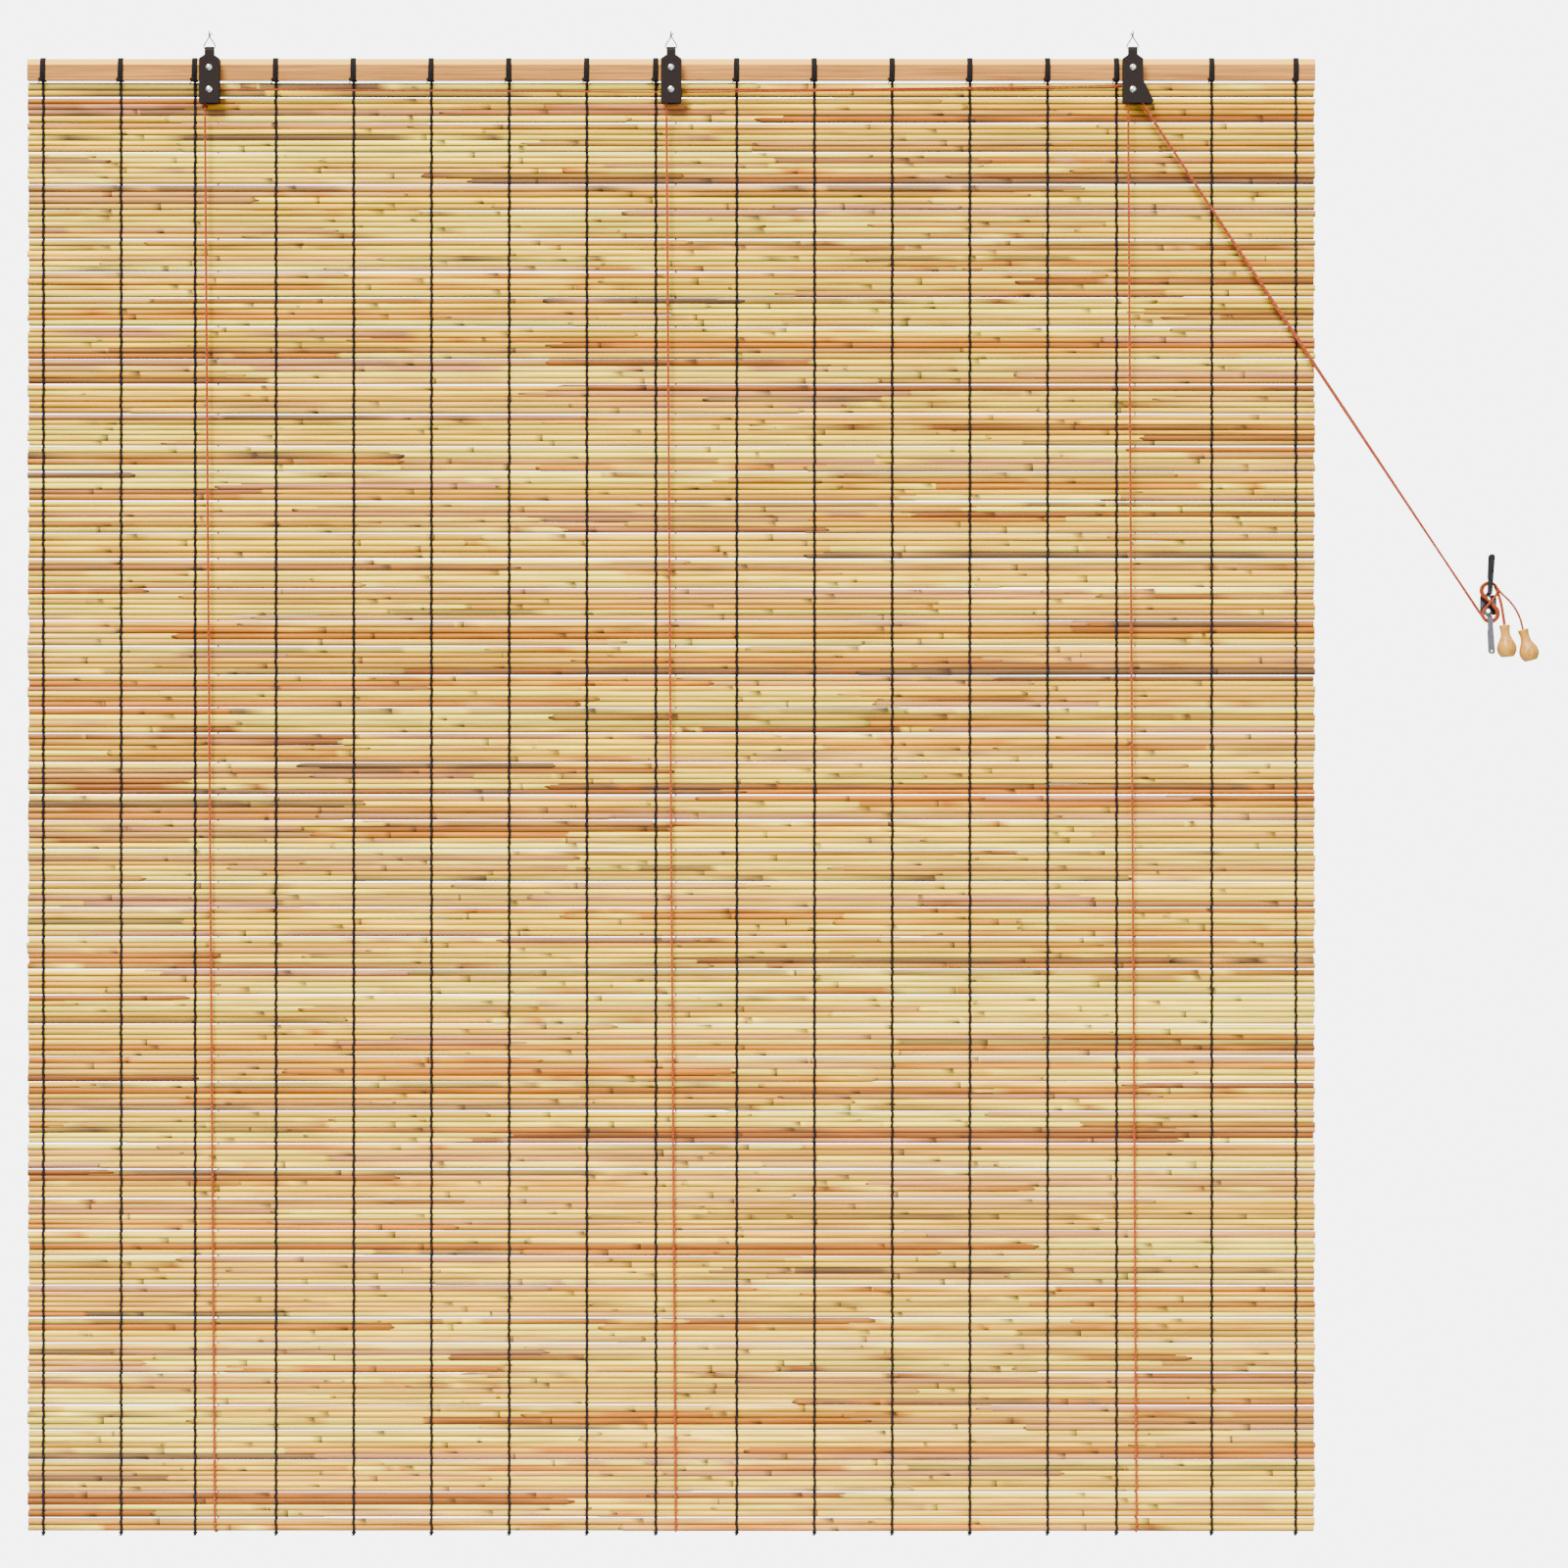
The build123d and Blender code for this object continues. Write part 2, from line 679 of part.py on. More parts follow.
def winding():
    """Outer shape of the cords wound on the cleat: a flat figure of eight."""
    upper = Vector(upper_loop_x, upper_loop_z)
    lower = Vector(lower_loop_x, lower_loop_z)
    between = upper - lower
    lean = math.degrees(math.atan2(between.Y, between.X))
    open_angle = math.degrees(math.acos((upper_loop_radius + lower_loop_radius) / between.length))
    half = winding_band / 2
    loops = ((upper, upper_loop_radius, lean + 180), (lower, lower_loop_radius, lean))
    faces = []
    for centre, radius, facing in loops:
        outer = CenterArc((centre.X, centre.Y), radius + half, facing + open_angle, 360 - 2 * open_angle)
        inner = CenterArc((centre.X, centre.Y), radius - half, facing + open_angle, 360 - 2 * open_angle)
        faces.append(make_face([outer, inner, Line(outer @ 0, inner @ 0), Line(outer @ 1, inner @ 1)]))
    for turn in (1, -1):
        corners = []
        for (centre, radius, facing), order in zip(loops, ((half, -half), (half, -half))):
            angle = math.radians(facing + turn * open_angle)
            spoke = Vector(math.cos(angle), math.sin(angle))
            corners.extend(centre + spoke * (radius + shift) for shift in order)
        faces.append(make_face(Polyline(corners[0], corners[3], corners[2], corners[1], close=True)))
    stand = Pos(cleat_x, winding_y, cleat_z) * Rot(90, 0, 0)
    bands = [extrude(stand * face, winding_depth / 2, both=True) for face in faces]
    return bands[0] + bands[1:]


def cleat():
    """Pressed cleat: base plate, two necks and two channelled horns."""
    half = cleat_horn_width / 2
    plate_y = wall_y - cleat_sheet / 2
    pieces = []
    for up in (1, -1):
        line = FilletPolyline(
            (plate_y, 0),
            (plate_y, up * (cleat_neck_z - 0.6)),
            (cleat_neck_y, up * cleat_neck_z),
            (cleat_tip_y, up * cleat_tip_z),
            radius=[1.6, 3.0],
        )
        strip = Plane.YZ * trace(line, cleat_sheet)
        pieces.append(extrude(strip, half, both=True))
        lean = (cleat_tip_y - cleat_neck_y) / (cleat_tip_z - cleat_neck_z)
        start_y = cleat_neck_y + lean * (cleat_flange_start_z - cleat_neck_z)
        flange = [
            (start_y, up * cleat_flange_start_z),
            (cleat_tip_y, up * cleat_tip_z),
            (cleat_tip_y + cleat_flange_depth + cleat_sheet / 2, up * cleat_tip_z),
            (start_y + cleat_flange_depth + cleat_sheet / 2, up * (cleat_flange_start_z + 2 * cleat_flange_depth)),
        ]
        for x_from, x_to in ((-half, cleat_flange_thickness - half), (half - cleat_flange_thickness, half)):
            pieces.append(along_x(flange, x_from, x_to))
    horns = pieces[0] + pieces[1:]
    tip_centre = cleat_tip_z - half
    view = make_face(
        Polyline(
            (cleat_neck_width / 2, 0),
            (cleat_neck_width / 2, cleat_neck_z),
            (half, tip_centre),
            (-half, tip_centre),
            (-cleat_neck_width / 2, cleat_neck_z),
            (-cleat_neck_width / 2, 0),
            close=True,
        )
    )
    view += Pos(0, tip_centre) * Circle(half)
    view += mirror(view, about=Plane.XZ)
    horns = horns & extrude(Plane.XZ * view, 100, both=True)
    horns -= rod_y(cleat_tip_hole_diameter, 0, cleat_tip_hole_inset - cleat_tip_z, cleat_tip_y - 5, wall_y)
    base = Plane.XZ * RectangleRounded(cleat_base_width, cleat_base_height, cleat_base_radius)
    base = Pos(0, wall_y - cleat_sheet / 2, 0) * extrude(base, cleat_sheet / 2, both=True)
    body = base + horns
    for up in (1, -1):
        body -= rod_y(cleat_hole_diameter, 0, up * cleat_hole_pitch / 2, wall_y - 2 * cleat_sheet, wall_y)
    return Pos(cleat_x, 0, cleat_z) * body


def pull_axis(tilt):
    """Direction from a pull's lip to its foot."""
    return down_right(tilt)


def pull(top, tilt):
    """Turned wooden pull with a cord hole and a pocket for the knot."""
    swell = pull_belly_radius - pull_neck_radius
    rise = pull_belly_at - pull_neck_at
    shrink = pull_belly_radius - pull_foot_radius
    drop = pull_length - pull_belly_at
    outside = Polyline(
        (pull_lip_radius, 0),
        (pull_lip_radius, -1.5),
        (pull_neck_radius, -pull_neck_at + 3),
        (pull_neck_radius, -pull_neck_at),
        (pull_neck_radius + 0.35 * swell, -pull_neck_at - 0.4 * rise),
        (pull_neck_radius + 0.88 * swell, -pull_neck_at - 0.76 * rise),
        (pull_belly_radius, -pull_belly_at),
        (pull_belly_radius - 0.14 * shrink, -pull_belly_at - 0.45 * drop),
        (pull_belly_radius - 0.58 * shrink, -pull_belly_at - 0.86 * drop),
        (pull_foot_radius, -pull_length),
    )
    inside = Polyline(
        (pull_foot_radius, -pull_length),
        (pull_pocket_radius, -pull_length),
        (pull_pocket_radius, pull_pocket_depth - pull_length),
        (pull_hole_radius, pull_pocket_depth - pull_length),
        (pull_hole_radius, 0),
        (pull_lip_radius, 0),
    )
    wood = revolve(Plane.XZ * make_face([outside, inside]), Axis.Z)
    return Pos(top.X, top.Y, top.Z) * Rot(0, -tilt, 0) * wood


def tail_cord(name, points, top, tilt, diameter):
    """Cord from the winding into a pull, with the knot that holds the pull."""
    axis = pull_axis(tilt)
    shoulder = pull_length - pull_pocket_depth
    route = [*points, top - axis * 2, top + axis * (shoulder + 1)]
    cord = tube(name, route, route_radii(route), diameter)
    knot_at = top + axis * (shoulder + pull_knot_length / 2)
    knot = Pos(knot_at.X, knot_at.Y, knot_at.Z) * Rot(0, -tilt, 0) * Cylinder(pull_knot_radius, pull_knot_length)
    outside = (cord - winding()).solids().sort_by(SortBy.VOLUME)[-1]
    return outside + knot


write("headrail", headrail())
write("reed_mat", reed_mat())
for number, place in enumerate(binding_places(), start=1):
    write(f"binding_{number:02d}", binding(place))
for bracket_side, place in bracket_places.items():
    write(f"bracket_{bracket_side}", bracket(bracket_side, place))
    write(f"sheave_{bracket_side}", sheave(place))
    write(f"sheave_rivet_{bracket_side}", sheave_rivet(place))
    write(f"bracket_bolt_{bracket_side}", bolt(place))
    write(f"spacer_{bracket_side}", spacer(place))
    write(f"bolt_nut_{bracket_side}", nut_and_washer(place))
    write(f"hanger_wire_{bracket_side}", hanger_wire(place, -1 if bracket_side == "right" else 1))
    write(f"lift_cord_{bracket_side}", lift_cord(bracket_side, place))
write("guide_pin", guide_pin(bracket_places["right"]))
write("cleat", cleat())
write("cord_winding", winding())
for bracket_side, lane_step in (("left", 1), ("middle", 0), ("right", -1)):
    write(f"pull_cord_{bracket_side}", taut_cord(f"pull_cord_{bracket_side}", lane_step * strand_pitch))
write("tail_cord_pair", tail_cord("tail_cord_pair", pair_tail_points, left_pull_top, left_pull_tilt, pair_diameter))
write("tail_cord_single", tail_cord("tail_cord_single", single_tail_points, right_pull_top, right_pull_tilt, strand_diameter))
write("pull_left", pull(left_pull_top, left_pull_tilt))
write("pull_right", pull(right_pull_top, right_pull_tilt))
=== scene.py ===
"""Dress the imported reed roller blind: reeds, cords, hardware, materials, light and camera."""

from __future__ import annotations

import json
import logging
import math
import random
from collections.abc import Callable, Sequence
from dataclasses import dataclass, field
from enum import Enum

import bpy
from mathutils import Matrix, Quaternion, Vector

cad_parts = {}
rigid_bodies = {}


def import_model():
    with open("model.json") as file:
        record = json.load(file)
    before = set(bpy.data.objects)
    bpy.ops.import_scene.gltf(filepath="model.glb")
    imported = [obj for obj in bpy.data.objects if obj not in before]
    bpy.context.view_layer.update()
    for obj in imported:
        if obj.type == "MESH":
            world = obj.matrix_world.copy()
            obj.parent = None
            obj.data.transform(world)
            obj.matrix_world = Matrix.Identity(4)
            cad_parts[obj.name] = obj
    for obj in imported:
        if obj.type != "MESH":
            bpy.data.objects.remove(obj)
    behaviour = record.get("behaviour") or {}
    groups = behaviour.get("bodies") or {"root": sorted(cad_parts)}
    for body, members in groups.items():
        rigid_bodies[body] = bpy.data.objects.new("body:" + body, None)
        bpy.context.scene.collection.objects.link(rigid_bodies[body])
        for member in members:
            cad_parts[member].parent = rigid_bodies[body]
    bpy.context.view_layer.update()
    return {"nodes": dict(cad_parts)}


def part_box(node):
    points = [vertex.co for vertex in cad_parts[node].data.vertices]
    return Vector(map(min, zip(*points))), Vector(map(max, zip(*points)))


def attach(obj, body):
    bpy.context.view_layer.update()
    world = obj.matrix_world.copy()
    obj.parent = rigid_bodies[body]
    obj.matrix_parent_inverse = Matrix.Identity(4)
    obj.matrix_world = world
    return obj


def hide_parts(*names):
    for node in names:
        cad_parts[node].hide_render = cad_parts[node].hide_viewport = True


LOG = logging.getLogger("reed_blind")
MM = 0.001
ROOT = "blind"


def mm(x: float, y: float, z: float) -> Vector:
    """Point in metres from millimetres.

    Args:
        x: To the right.
        y: Towards the wall.
        z: Up.

    Returns:
        The point in the row frame.
    """
    return Vector((x * MM, y * MM, z * MM))


def linear(code: str) -> tuple[float, float, float, float]:
    """Scene-linear colour of an sRGB hex code.

    Args:
        code: Six hex digits after a hash.

    Returns:
        Red, green, blue and alpha.
    """
    parts = [int(code[i : i + 2], 16) / 255 for i in (1, 3, 5)]
    flat = [p / 12.92 if p <= 0.04045 else ((p + 0.055) / 1.055) ** 2.4 for p in parts]
    return (flat[0], flat[1], flat[2], 1.0)


def placed(name: str, data: bpy.types.ID) -> bpy.types.Object:
    """New object in the scene.

    Args:
        name: Name of the object.
        data: Its mesh, curve, light or camera.

    Returns:
        The object.
    """
    obj = bpy.data.objects.new(name, data)
    bpy.context.scene.collection.objects.link(obj)
    return obj


def seat(piece: bpy.types.Object, node: str, body: str = ROOT) -> bpy.types.Object:
    """Put a piece on its body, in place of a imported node.

    Args:
        piece: The piece.
        node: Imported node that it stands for.
        body: Body that it rides on.

    Returns:
        The piece.
    """
    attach(piece, body)
    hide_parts(node)
    return piece


class Side(Enum):
    """The three brackets, by their place along the headrail."""

    LEFT = "left"
    MIDDLE = "middle"
    RIGHT = "right"

    @property
    def x(self) -> float:
        """Centre of the bracket in millimetres.

        Returns:
            Its place along X.
        """
        return {"left": -501.0, "middle": 0.0, "right": 501.0}[self.value]

    @property
    def lane(self) -> float:
        """Place of the cord among the three that leave together, in millimetres.

        Returns:
            Its place along Y.
        """
        return {"left": 1.9, "middle": 0.0, "right": -1.9}[self.value]


@dataclass
class Draft:
    """Mesh under construction, with one colour for each point.

    Attributes:
        points: Vertex places in the row frame.
        faces: Vertex numbers of each face.
        tints: Colour of each vertex.
    """

    points: list[Vector] = field(default_factory=list)
    faces: list[tuple[int, ...]] = field(default_factory=list)
    tints: list[tuple[float, float, float, float]] = field(default_factory=list)

    def ring(self, places: Sequence[Vector], tint: tuple[float, float, float, float]) -> int:
        """Add a ring of points.

        Args:
            places: Points of the ring.
            tint: Colour of all of them.

        Returns:
            Number of the ring's first point.
        """
        start = len(self.points)
        self.points.extend(places)
        self.tints.extend([tint] * len(places))
        return start

    def skin(self, first: int, second: int, sides: int) -> None:
        """Join two rings by quads.

        Args:
            first: First point of one ring.
            second: First point of the next ring.
            sides: Points in each ring.
        """
        for k in range(sides):
            nxt = (k + 1) % sides
            self.faces.append((first + k, first + nxt, second + nxt, second + k))

    def cap(self, first: int, sides: int, turned: bool) -> None:
        """Close a ring.

        Args:
            first: First point of the ring.
            sides: Points in the ring.
            turned: Whether the face looks back along the sweep.
        """
        order = range(first, first + sides)
        self.faces.append(tuple(reversed(order)) if turned else tuple(order))

    def sweep(
        self,
        path: Sequence[Vector],
        outline: Callable[[int, float], Sequence[tuple[float, float]]],
        tint: tuple[float, float, float, float] = (1, 1, 1, 1),
        flat: bool = False,
    ) -> None:
        """Carry an outline along a path without letting it spin.

        Args:
            path: Points of the centre line.
            outline: Gives the outline's points from the path point's number and its distance.
            tint: Colour of all points.
            flat: Whether the outline's first axis stays along X.
        """
        across = None
        before = None
        travelled = 0.0
        heading = (path[1] - path[0]).normalized()
        for i, place in enumerate(path):
            new_heading = (path[min(i + 1, len(path) - 1)] - path[max(i - 1, 0)]).normalized()
            if across is None:
                helper = Vector((0, 1, 0)) if abs(new_heading.y) < 0.9 else Vector((1, 0, 0))
                across = new_heading.cross(helper).normalized()
            elif flat:
                across = (Vector((1, 0, 0)) - new_heading * new_heading.x).normalized()
            else:
                across = heading.rotation_difference(new_heading) @ across
            travelled += (place - path[max(i - 1, 0)]).length
            heading = new_heading
            up = heading.cross(across)
            shape = outline(i, travelled)
            start = self.ring([place + across * a + up * b for a, b in shape], tint)
            if before is not None:
                self.skin(before, start, len(shape))
            else:
                self.cap(start, len(shape), True)
            before = start
        self.cap(before, len(shape), False)

    def finish(self, name: str, material: bpy.types.Material, smooth_angle: float = 80.0) -> bpy.types.Object:
        """Turn the draft into an object.

        Args:
            name: Name of the object.
            material: Its material.
            smooth_angle: Edges sharper than this stay sharp, in degrees.

        Returns:
            The object.
        """
        mesh = bpy.data.meshes.new(name)
        mesh.from_pydata([tuple(p) for p in self.points], [], self.faces)
        mesh.update()
        colour = mesh.color_attributes.new("tint", "FLOAT_COLOR", "POINT")
        colour.data.foreach_set("color", [c for tint in self.tints for c in tint])
        mesh.materials.append(material)
        mesh.shade_smooth()
        mesh.set_sharp_from_angle(angle=math.radians(smooth_angle))
        return placed(name, mesh)


def circle(radius: float, sides: int) -> list[tuple[float, float]]:
    """Points of a circle.

    Args:
        radius: Its radius in metres.
        sides: Number of points.

    Returns:
        The points.
    """
    return [
        (radius * math.cos(2 * math.pi * k / sides), radius * math.sin(2 * math.pi * k / sides))
        for k in range(sides)
    ]


def rounded(corners: Sequence[Vector], radii: Sequence[float], step: float) -> list[Vector]:
    """Straight runs joined by tangent arcs, as evenly spaced points.

    Args:
        corners: Corners of the route in metres.
        radii: Radius at each inner corner in metres.
        step: Distance between points on the runs in metres.

    Returns:
        Points along the route.
    """
    marks = [corners[0]]
    places: list[Vector] = []

    def run(start: Vector, end: Vector) -> None:
        """Add points from start up to end, end left out.

        Args:
            start: First point.
            end: Last point.
        """
        count = max(1, round((end - start).length / step))
        places.extend(start.lerp(end, i / count) for i in range(count))

    for before, corner, after, radius in zip(corners, corners[1:], corners[2:], radii):
        into = (corner - before).normalized()
        out = (after - corner).normalized()
        turn = into.angle(out)
        cut = radius * math.tan(turn / 2)
        start = corner - into * cut
        run(marks[-1], start)
        inward = (out - into).normalized()
        centre = corner + inward * (radius / math.cos(turn / 2))
        spoke = start - centre
        axis = into.cross(out).normalized()
        count = max(2, math.ceil(turn / 0.25), round(radius * turn / step))
        for i in range(count):
            places.append(centre + Quaternion(axis, turn * i / count) @ spoke)
        marks.append(corner + out * cut)
    run(marks[-1], corners[-1])
    places.append(corners[-1])
    return places


@dataclass(frozen=True)
class Nodes:
    """Node tree helper for one material.

    Attributes:
        material: The material whose nodes are added.
    """

    material: bpy.types.Material

    def feed(self, node: bpy.types.Node, inputs: dict[str | int, object]) -> None:
        """Set a node's inputs, or link them.

        Args:
            node: The node.
            inputs: Value or output socket for each input, by name or number.
        """
        for name, value in inputs.items():
            if isinstance(value, bpy.types.NodeSocket):
                self.material.node_tree.links.new(value, node.inputs[name])
            else:
                node.inputs[name].default_value = value

    def add(
        self, kind: str, inputs: dict[str | int, object] | None = None, **settings: object
    ) -> bpy.types.Node:
        """Add a node.

        Args:
            kind: Type name of the node.
            inputs: Value or output socket for each input, by name or number.
            settings: Properties of the node.

        Returns:
            The node.
        """
        node = self.material.node_tree.nodes.new(kind)
        for name, value in settings.items():
            setattr(node, name, value)
        self.feed(node, inputs or {})
        return node

    def noise(self, scale: tuple[float, float, float], **inputs: float) -> bpy.types.NodeSocket:
        """Noise stretched along the object's own axes.

        Args:
            scale: Patches to the metre along X, Y and Z.
            inputs: The noise's own inputs.

        Returns:
            Its value.
        """
        place = self.add("ShaderNodeTexCoord").outputs["Object"]
        stretched = self.add("ShaderNodeMapping", {"Vector": place, "Scale": scale}).outputs[0]
        return self.add("ShaderNodeTexNoise", {"Vector": stretched, "Scale": 1.0, **inputs}).outputs["Fac"]

    def fit(
        self, value: bpy.types.NodeSocket, low: float, high: float, to_low: float = 0.0, to_high: float = 1.0
    ) -> bpy.types.NodeSocket:
        """Spread one stretch of values over another.

        Args:
            value: The value.
            low: Start of its stretch.
            high: End of its stretch.
            to_low: What the start becomes.
            to_high: What the end becomes.

        Returns:
            The new value.
        """
        limits = {"From Min": low, "From Max": high, "To Min": to_low, "To Max": to_high}
        return self.add("ShaderNodeMapRange", {"Value": value, **limits}).outputs[0]

    def reckon(self, operation: str, *terms: bpy.types.NodeSocket | float) -> bpy.types.NodeSocket:
        """Work out a sum, a product or the like.

        Args:
            operation: Name of the operation.
            terms: What goes into it.

        Returns:
            Its result.
        """
        return self.add("ShaderNodeMath", dict(enumerate(terms)), operation=operation).outputs[0]

    def ramp(
        self, value: bpy.types.NodeSocket, low: tuple[float, str], high: tuple[float, str]
    ) -> bpy.types.NodeSocket:
        """Blend two colours.

        Args:
            value: Where the blend stands.
            low: Place and colour of its lower end.
            high: Place and colour of its upper end.

        Returns:
            The colour.
        """
        node = self.add("ShaderNodeValToRGB", {"Fac": value})
        for element, (place, code) in zip(node.color_ramp.elements, (low, high)):
            element.position = place
            element.color = linear(code)
        return node.outputs["Color"]

    def bump(self, height: bpy.types.NodeSocket, depth: float, strength: float) -> bpy.types.NodeSocket:
        """Relief of the surface.

        Args:
            height: Its height at each place.
            depth: Its depth in metres.
            strength: Its strength.

        Returns:
            The bent normal.
        """
        inputs = {"Height": height, "Distance": depth, "Strength": strength}
        return self.add("ShaderNodeBump", inputs).outputs[0]


def blank(name: str) -> tuple[Nodes, bpy.types.Node]:
    """Empty material with a shader and an output.

    Args:
        name: Name of the material.

    Returns:
        The node helper and the shader.
    """
    material = bpy.data.materials.new(name)
    material.use_nodes = True
    material.node_tree.nodes.clear()
    nodes = Nodes(material)
    shader = nodes.add("ShaderNodeBsdfPrincipled")
    nodes.add("ShaderNodeOutputMaterial", {"Surface": shader.outputs["BSDF"]})
    return nodes, shader


@dataclass(frozen=True)
class ReedFinish:
    """Split reed with its own skin left on: satin, with fine lengthwise fibres, slow patches of tone, and
    painted shade carried in by the vertex colour.

    Attributes:
        fibre_mm: Width of a fibre streak.
        streak_mm: Length of a fibre streak.
        relief_mm: Depth of the fibres.
        patches: Patches of tone to the metre along X, Y and Z.
        fibre_tone: Brightness in a fibre's valley and on its crest.
        patch_tone: Brightness of the darkest and the lightest patch.
        roughness: Of the skin.
        specular: Strength of its reflection.
    """

    fibre_mm: float = 0.8
    streak_mm: float = 80.0
    relief_mm: float = 0.12
    patches: tuple[float, float, float] = (9.0, 160.0, 160.0)
    fibre_tone: tuple[float, float] = (0.66, 1.24)
    patch_tone: tuple[float, float] = (0.78, 1.14)
    roughness: float = 0.45
    specular: float = 0.12

    def build(self) -> bpy.types.Material:
        """Make the material.

        Returns:
            The material.
        """
        nodes, shader = blank("reed_split_skin_on")
        tint = nodes.add("ShaderNodeVertexColor", layer_name="tint").outputs["Color"]
        across = 1 / (self.fibre_mm * MM)
        fibres = nodes.noise((1 / (self.streak_mm * MM), across, across), Detail=3.0)
        patches = nodes.noise(self.patches, Detail=2.0)
        fibre_tone = nodes.fit(fibres, 0.3, 0.7, *self.fibre_tone)
        patch_tone = nodes.fit(patches, 0.35, 0.65, *self.patch_tone)
        tone = nodes.reckon("MULTIPLY", fibre_tone, patch_tone)
        colour = nodes.add("ShaderNodeVectorMath", {0: tint, "Scale": tone}, operation="SCALE").outputs[0]
        skin = {
            "Base Color": colour,
            "Normal": nodes.bump(fibres, self.relief_mm * MM, 0.6),
            "Roughness": self.roughness,
            "Specular IOR Level": self.specular,
        }
        nodes.feed(shader, skin)
        return nodes.material


@dataclass(frozen=True)
class WoodFinish:
    """Planed or turned wood under a thin wipe of varnish: fine pores and soft darker grain, and where asked a
    band of painted light, lighter along the top as if lit from above.

    Attributes:
        name: Name of the material.
        light: Colour between the grain lines.
        dark: Colour of the grain lines.
        along: Axis of the grain, as streak lengths in millimetres along X, Y and Z.
        roughness: Of the varnish.
        speckle: Strength of dark pores.
        painted_light_above: Height in metres above which light from above is painted on as a lighter colour,
            or nothing.
        painted_light_colour: Colour of that painted light.
        pores: How many times finer the pores are than the grain.
        waver: How far the grain moves the edge of the painted light in metres.
        edge: Height in metres over which the painted light sets in.
        relief: Depth of the grain in metres.
    """

    name: str
    light: str
    dark: str
    along: tuple[float, float, float]
    roughness: float
    speckle: float
    painted_light_above: float | None = None
    painted_light_colour: str = "#FFFFFF"
    pores: float = 4.5
    waver: float = 0.0016
    edge: float = 0.0008
    relief: float = 0.00005

    def build(self) -> bpy.types.Material:
        """Make the material.

        Returns:
            The material.
        """
        nodes, shader = blank(self.name)
        scale = tuple(1 / (length * MM) for length in self.along)
        grain = nodes.noise(scale, Detail=5.0, Roughness=0.6, Distortion=0.4)
        pores = nodes.noise(tuple(self.pores * s for s in scale), Detail=2.0)
        pore_mask = nodes.fit(pores, 0.62, 0.72, 0.0, self.speckle)
        darkness = nodes.reckon("ADD", nodes.fit(grain, 0.36, 0.66), pore_mask)
        skin = nodes.ramp(darkness, (0.0, self.light), (1.0, self.dark))
        # Painted light: above a set height the colour turns lighter, as the top of the piece lit from above.
        if self.painted_light_above is not None:
            place = nodes.add("ShaderNodeTexCoord").outputs["Object"]
            height = nodes.add("ShaderNodeSeparateXYZ", {0: place}).outputs["Z"]
            uneven = nodes.reckon("MULTIPLY_ADD", grain, self.waver, height)
            edge = nodes.fit(uneven, self.painted_light_above, self.painted_light_above + self.edge)
            mixed = nodes.add("ShaderNodeMix", {0: edge, 6: skin, 7: linear(self.painted_light_colour)}, data_type="RGBA")
            skin = mixed.outputs[2]
        surface = {
            "Base Color": skin,
            "Normal": nodes.bump(grain, self.relief, 0.4),
            "Roughness": self.roughness,
            "Specular IOR Level": 0.2,
        }
        nodes.feed(shader, surface)
        return nodes.material


@dataclass(frozen=True)
class CordFinish:
    """Twisted cord: dull fibres with a slight fuzz that lightens the edges, darker fibres, and painted shade
    in the twist's valleys.

    Attributes:
        name: Name of the material.
        colour: Colour of the fibres.
        shade: Colour where the height runs low: darker fibres, and painted shade in the twist's valleys.
        sheen: Strength of the fuzz.
        turns: Turns of the twist along a curve's whole length, or 0 where the mesh itself is twisted.
        strands: Number of strands in the twist.
        fibres: Fibres to the metre along X, Y and Z.
    """

    name: str
    colour: str
    shade: str
    sheen: float
    turns: float = 0.0
    strands: int = 3
    fibres: tuple[float, float, float] = (900.0, 900.0, 500.0)

    def build(self) -> bpy.types.Material:
        """Make the material.

        Returns:
            The material.
        """
        nodes, shader = blank(self.name)
        height = nodes.noise(self.fibres, Detail=2.0)
        depth = 0.0001
        if self.turns:
            lay = nodes.add("ShaderNodeSeparateXYZ", {0: nodes.add("ShaderNodeTexCoord").outputs["UV"]})
            whole = 2 * math.pi * self.strands
            along = nodes.reckon("MULTIPLY", lay.outputs[0], whole * self.turns)
            around = nodes.reckon("MULTIPLY_ADD", lay.outputs[1], whole, along)
            # Painted shade: the twist's valleys are pulled towards the shade colour.
            height = nodes.reckon("MULTIPLY_ADD", nodes.reckon("SINE", around), 0.3, height)
            depth = 0.0004
        surface = {
            "Base Color": nodes.ramp(height, (0.3, self.shade), (0.62, self.colour)),
            "Normal": nodes.bump(height, depth, 0.5),
            "Roughness": 0.85,
            "Specular IOR Level": 0.2,
            "Sheen Weight": self.sheen,
        }
        nodes.feed(shader, surface)
        return nodes.material


@dataclass(frozen=True)
class MetalFinish:
    """Metal with a plated or painted skin: fine scuffs that break up the reflections.

    Attributes:
        name: Name of the material.
        colour: Colour of the skin.
        metallic: 1 for bare or plated metal, 0 for paint.
        low: Roughness of the smooth places.
        high: Roughness of the scuffed places.
        relief_mm: Depth of the surface's unevenness.
        scuffs: Scuffs to the metre along each axis.
    """

    name: str
    colour: str
    metallic: float
    low: float
    high: float
    relief_mm: float
    scuffs: float = 450.0

    def build(self) -> bpy.types.Material:
        """Make the material.

        Returns:
            The material.
        """
        nodes, shader = blank(self.name)
        scuffs = nodes.noise((self.scuffs,) * 3, Detail=4.0)
        surface = {
            "Base Color": linear(self.colour),
            "Metallic": self.metallic,
            "Roughness": nodes.fit(scuffs, 0.35, 0.7, self.low, self.high),
            "Specular IOR Level": 0.5 if self.metallic else 0.06,
            "Normal": nodes.bump(scuffs, self.relief_mm * MM, 0.5),
        }
        nodes.feed(shader, surface)
        return nodes.material


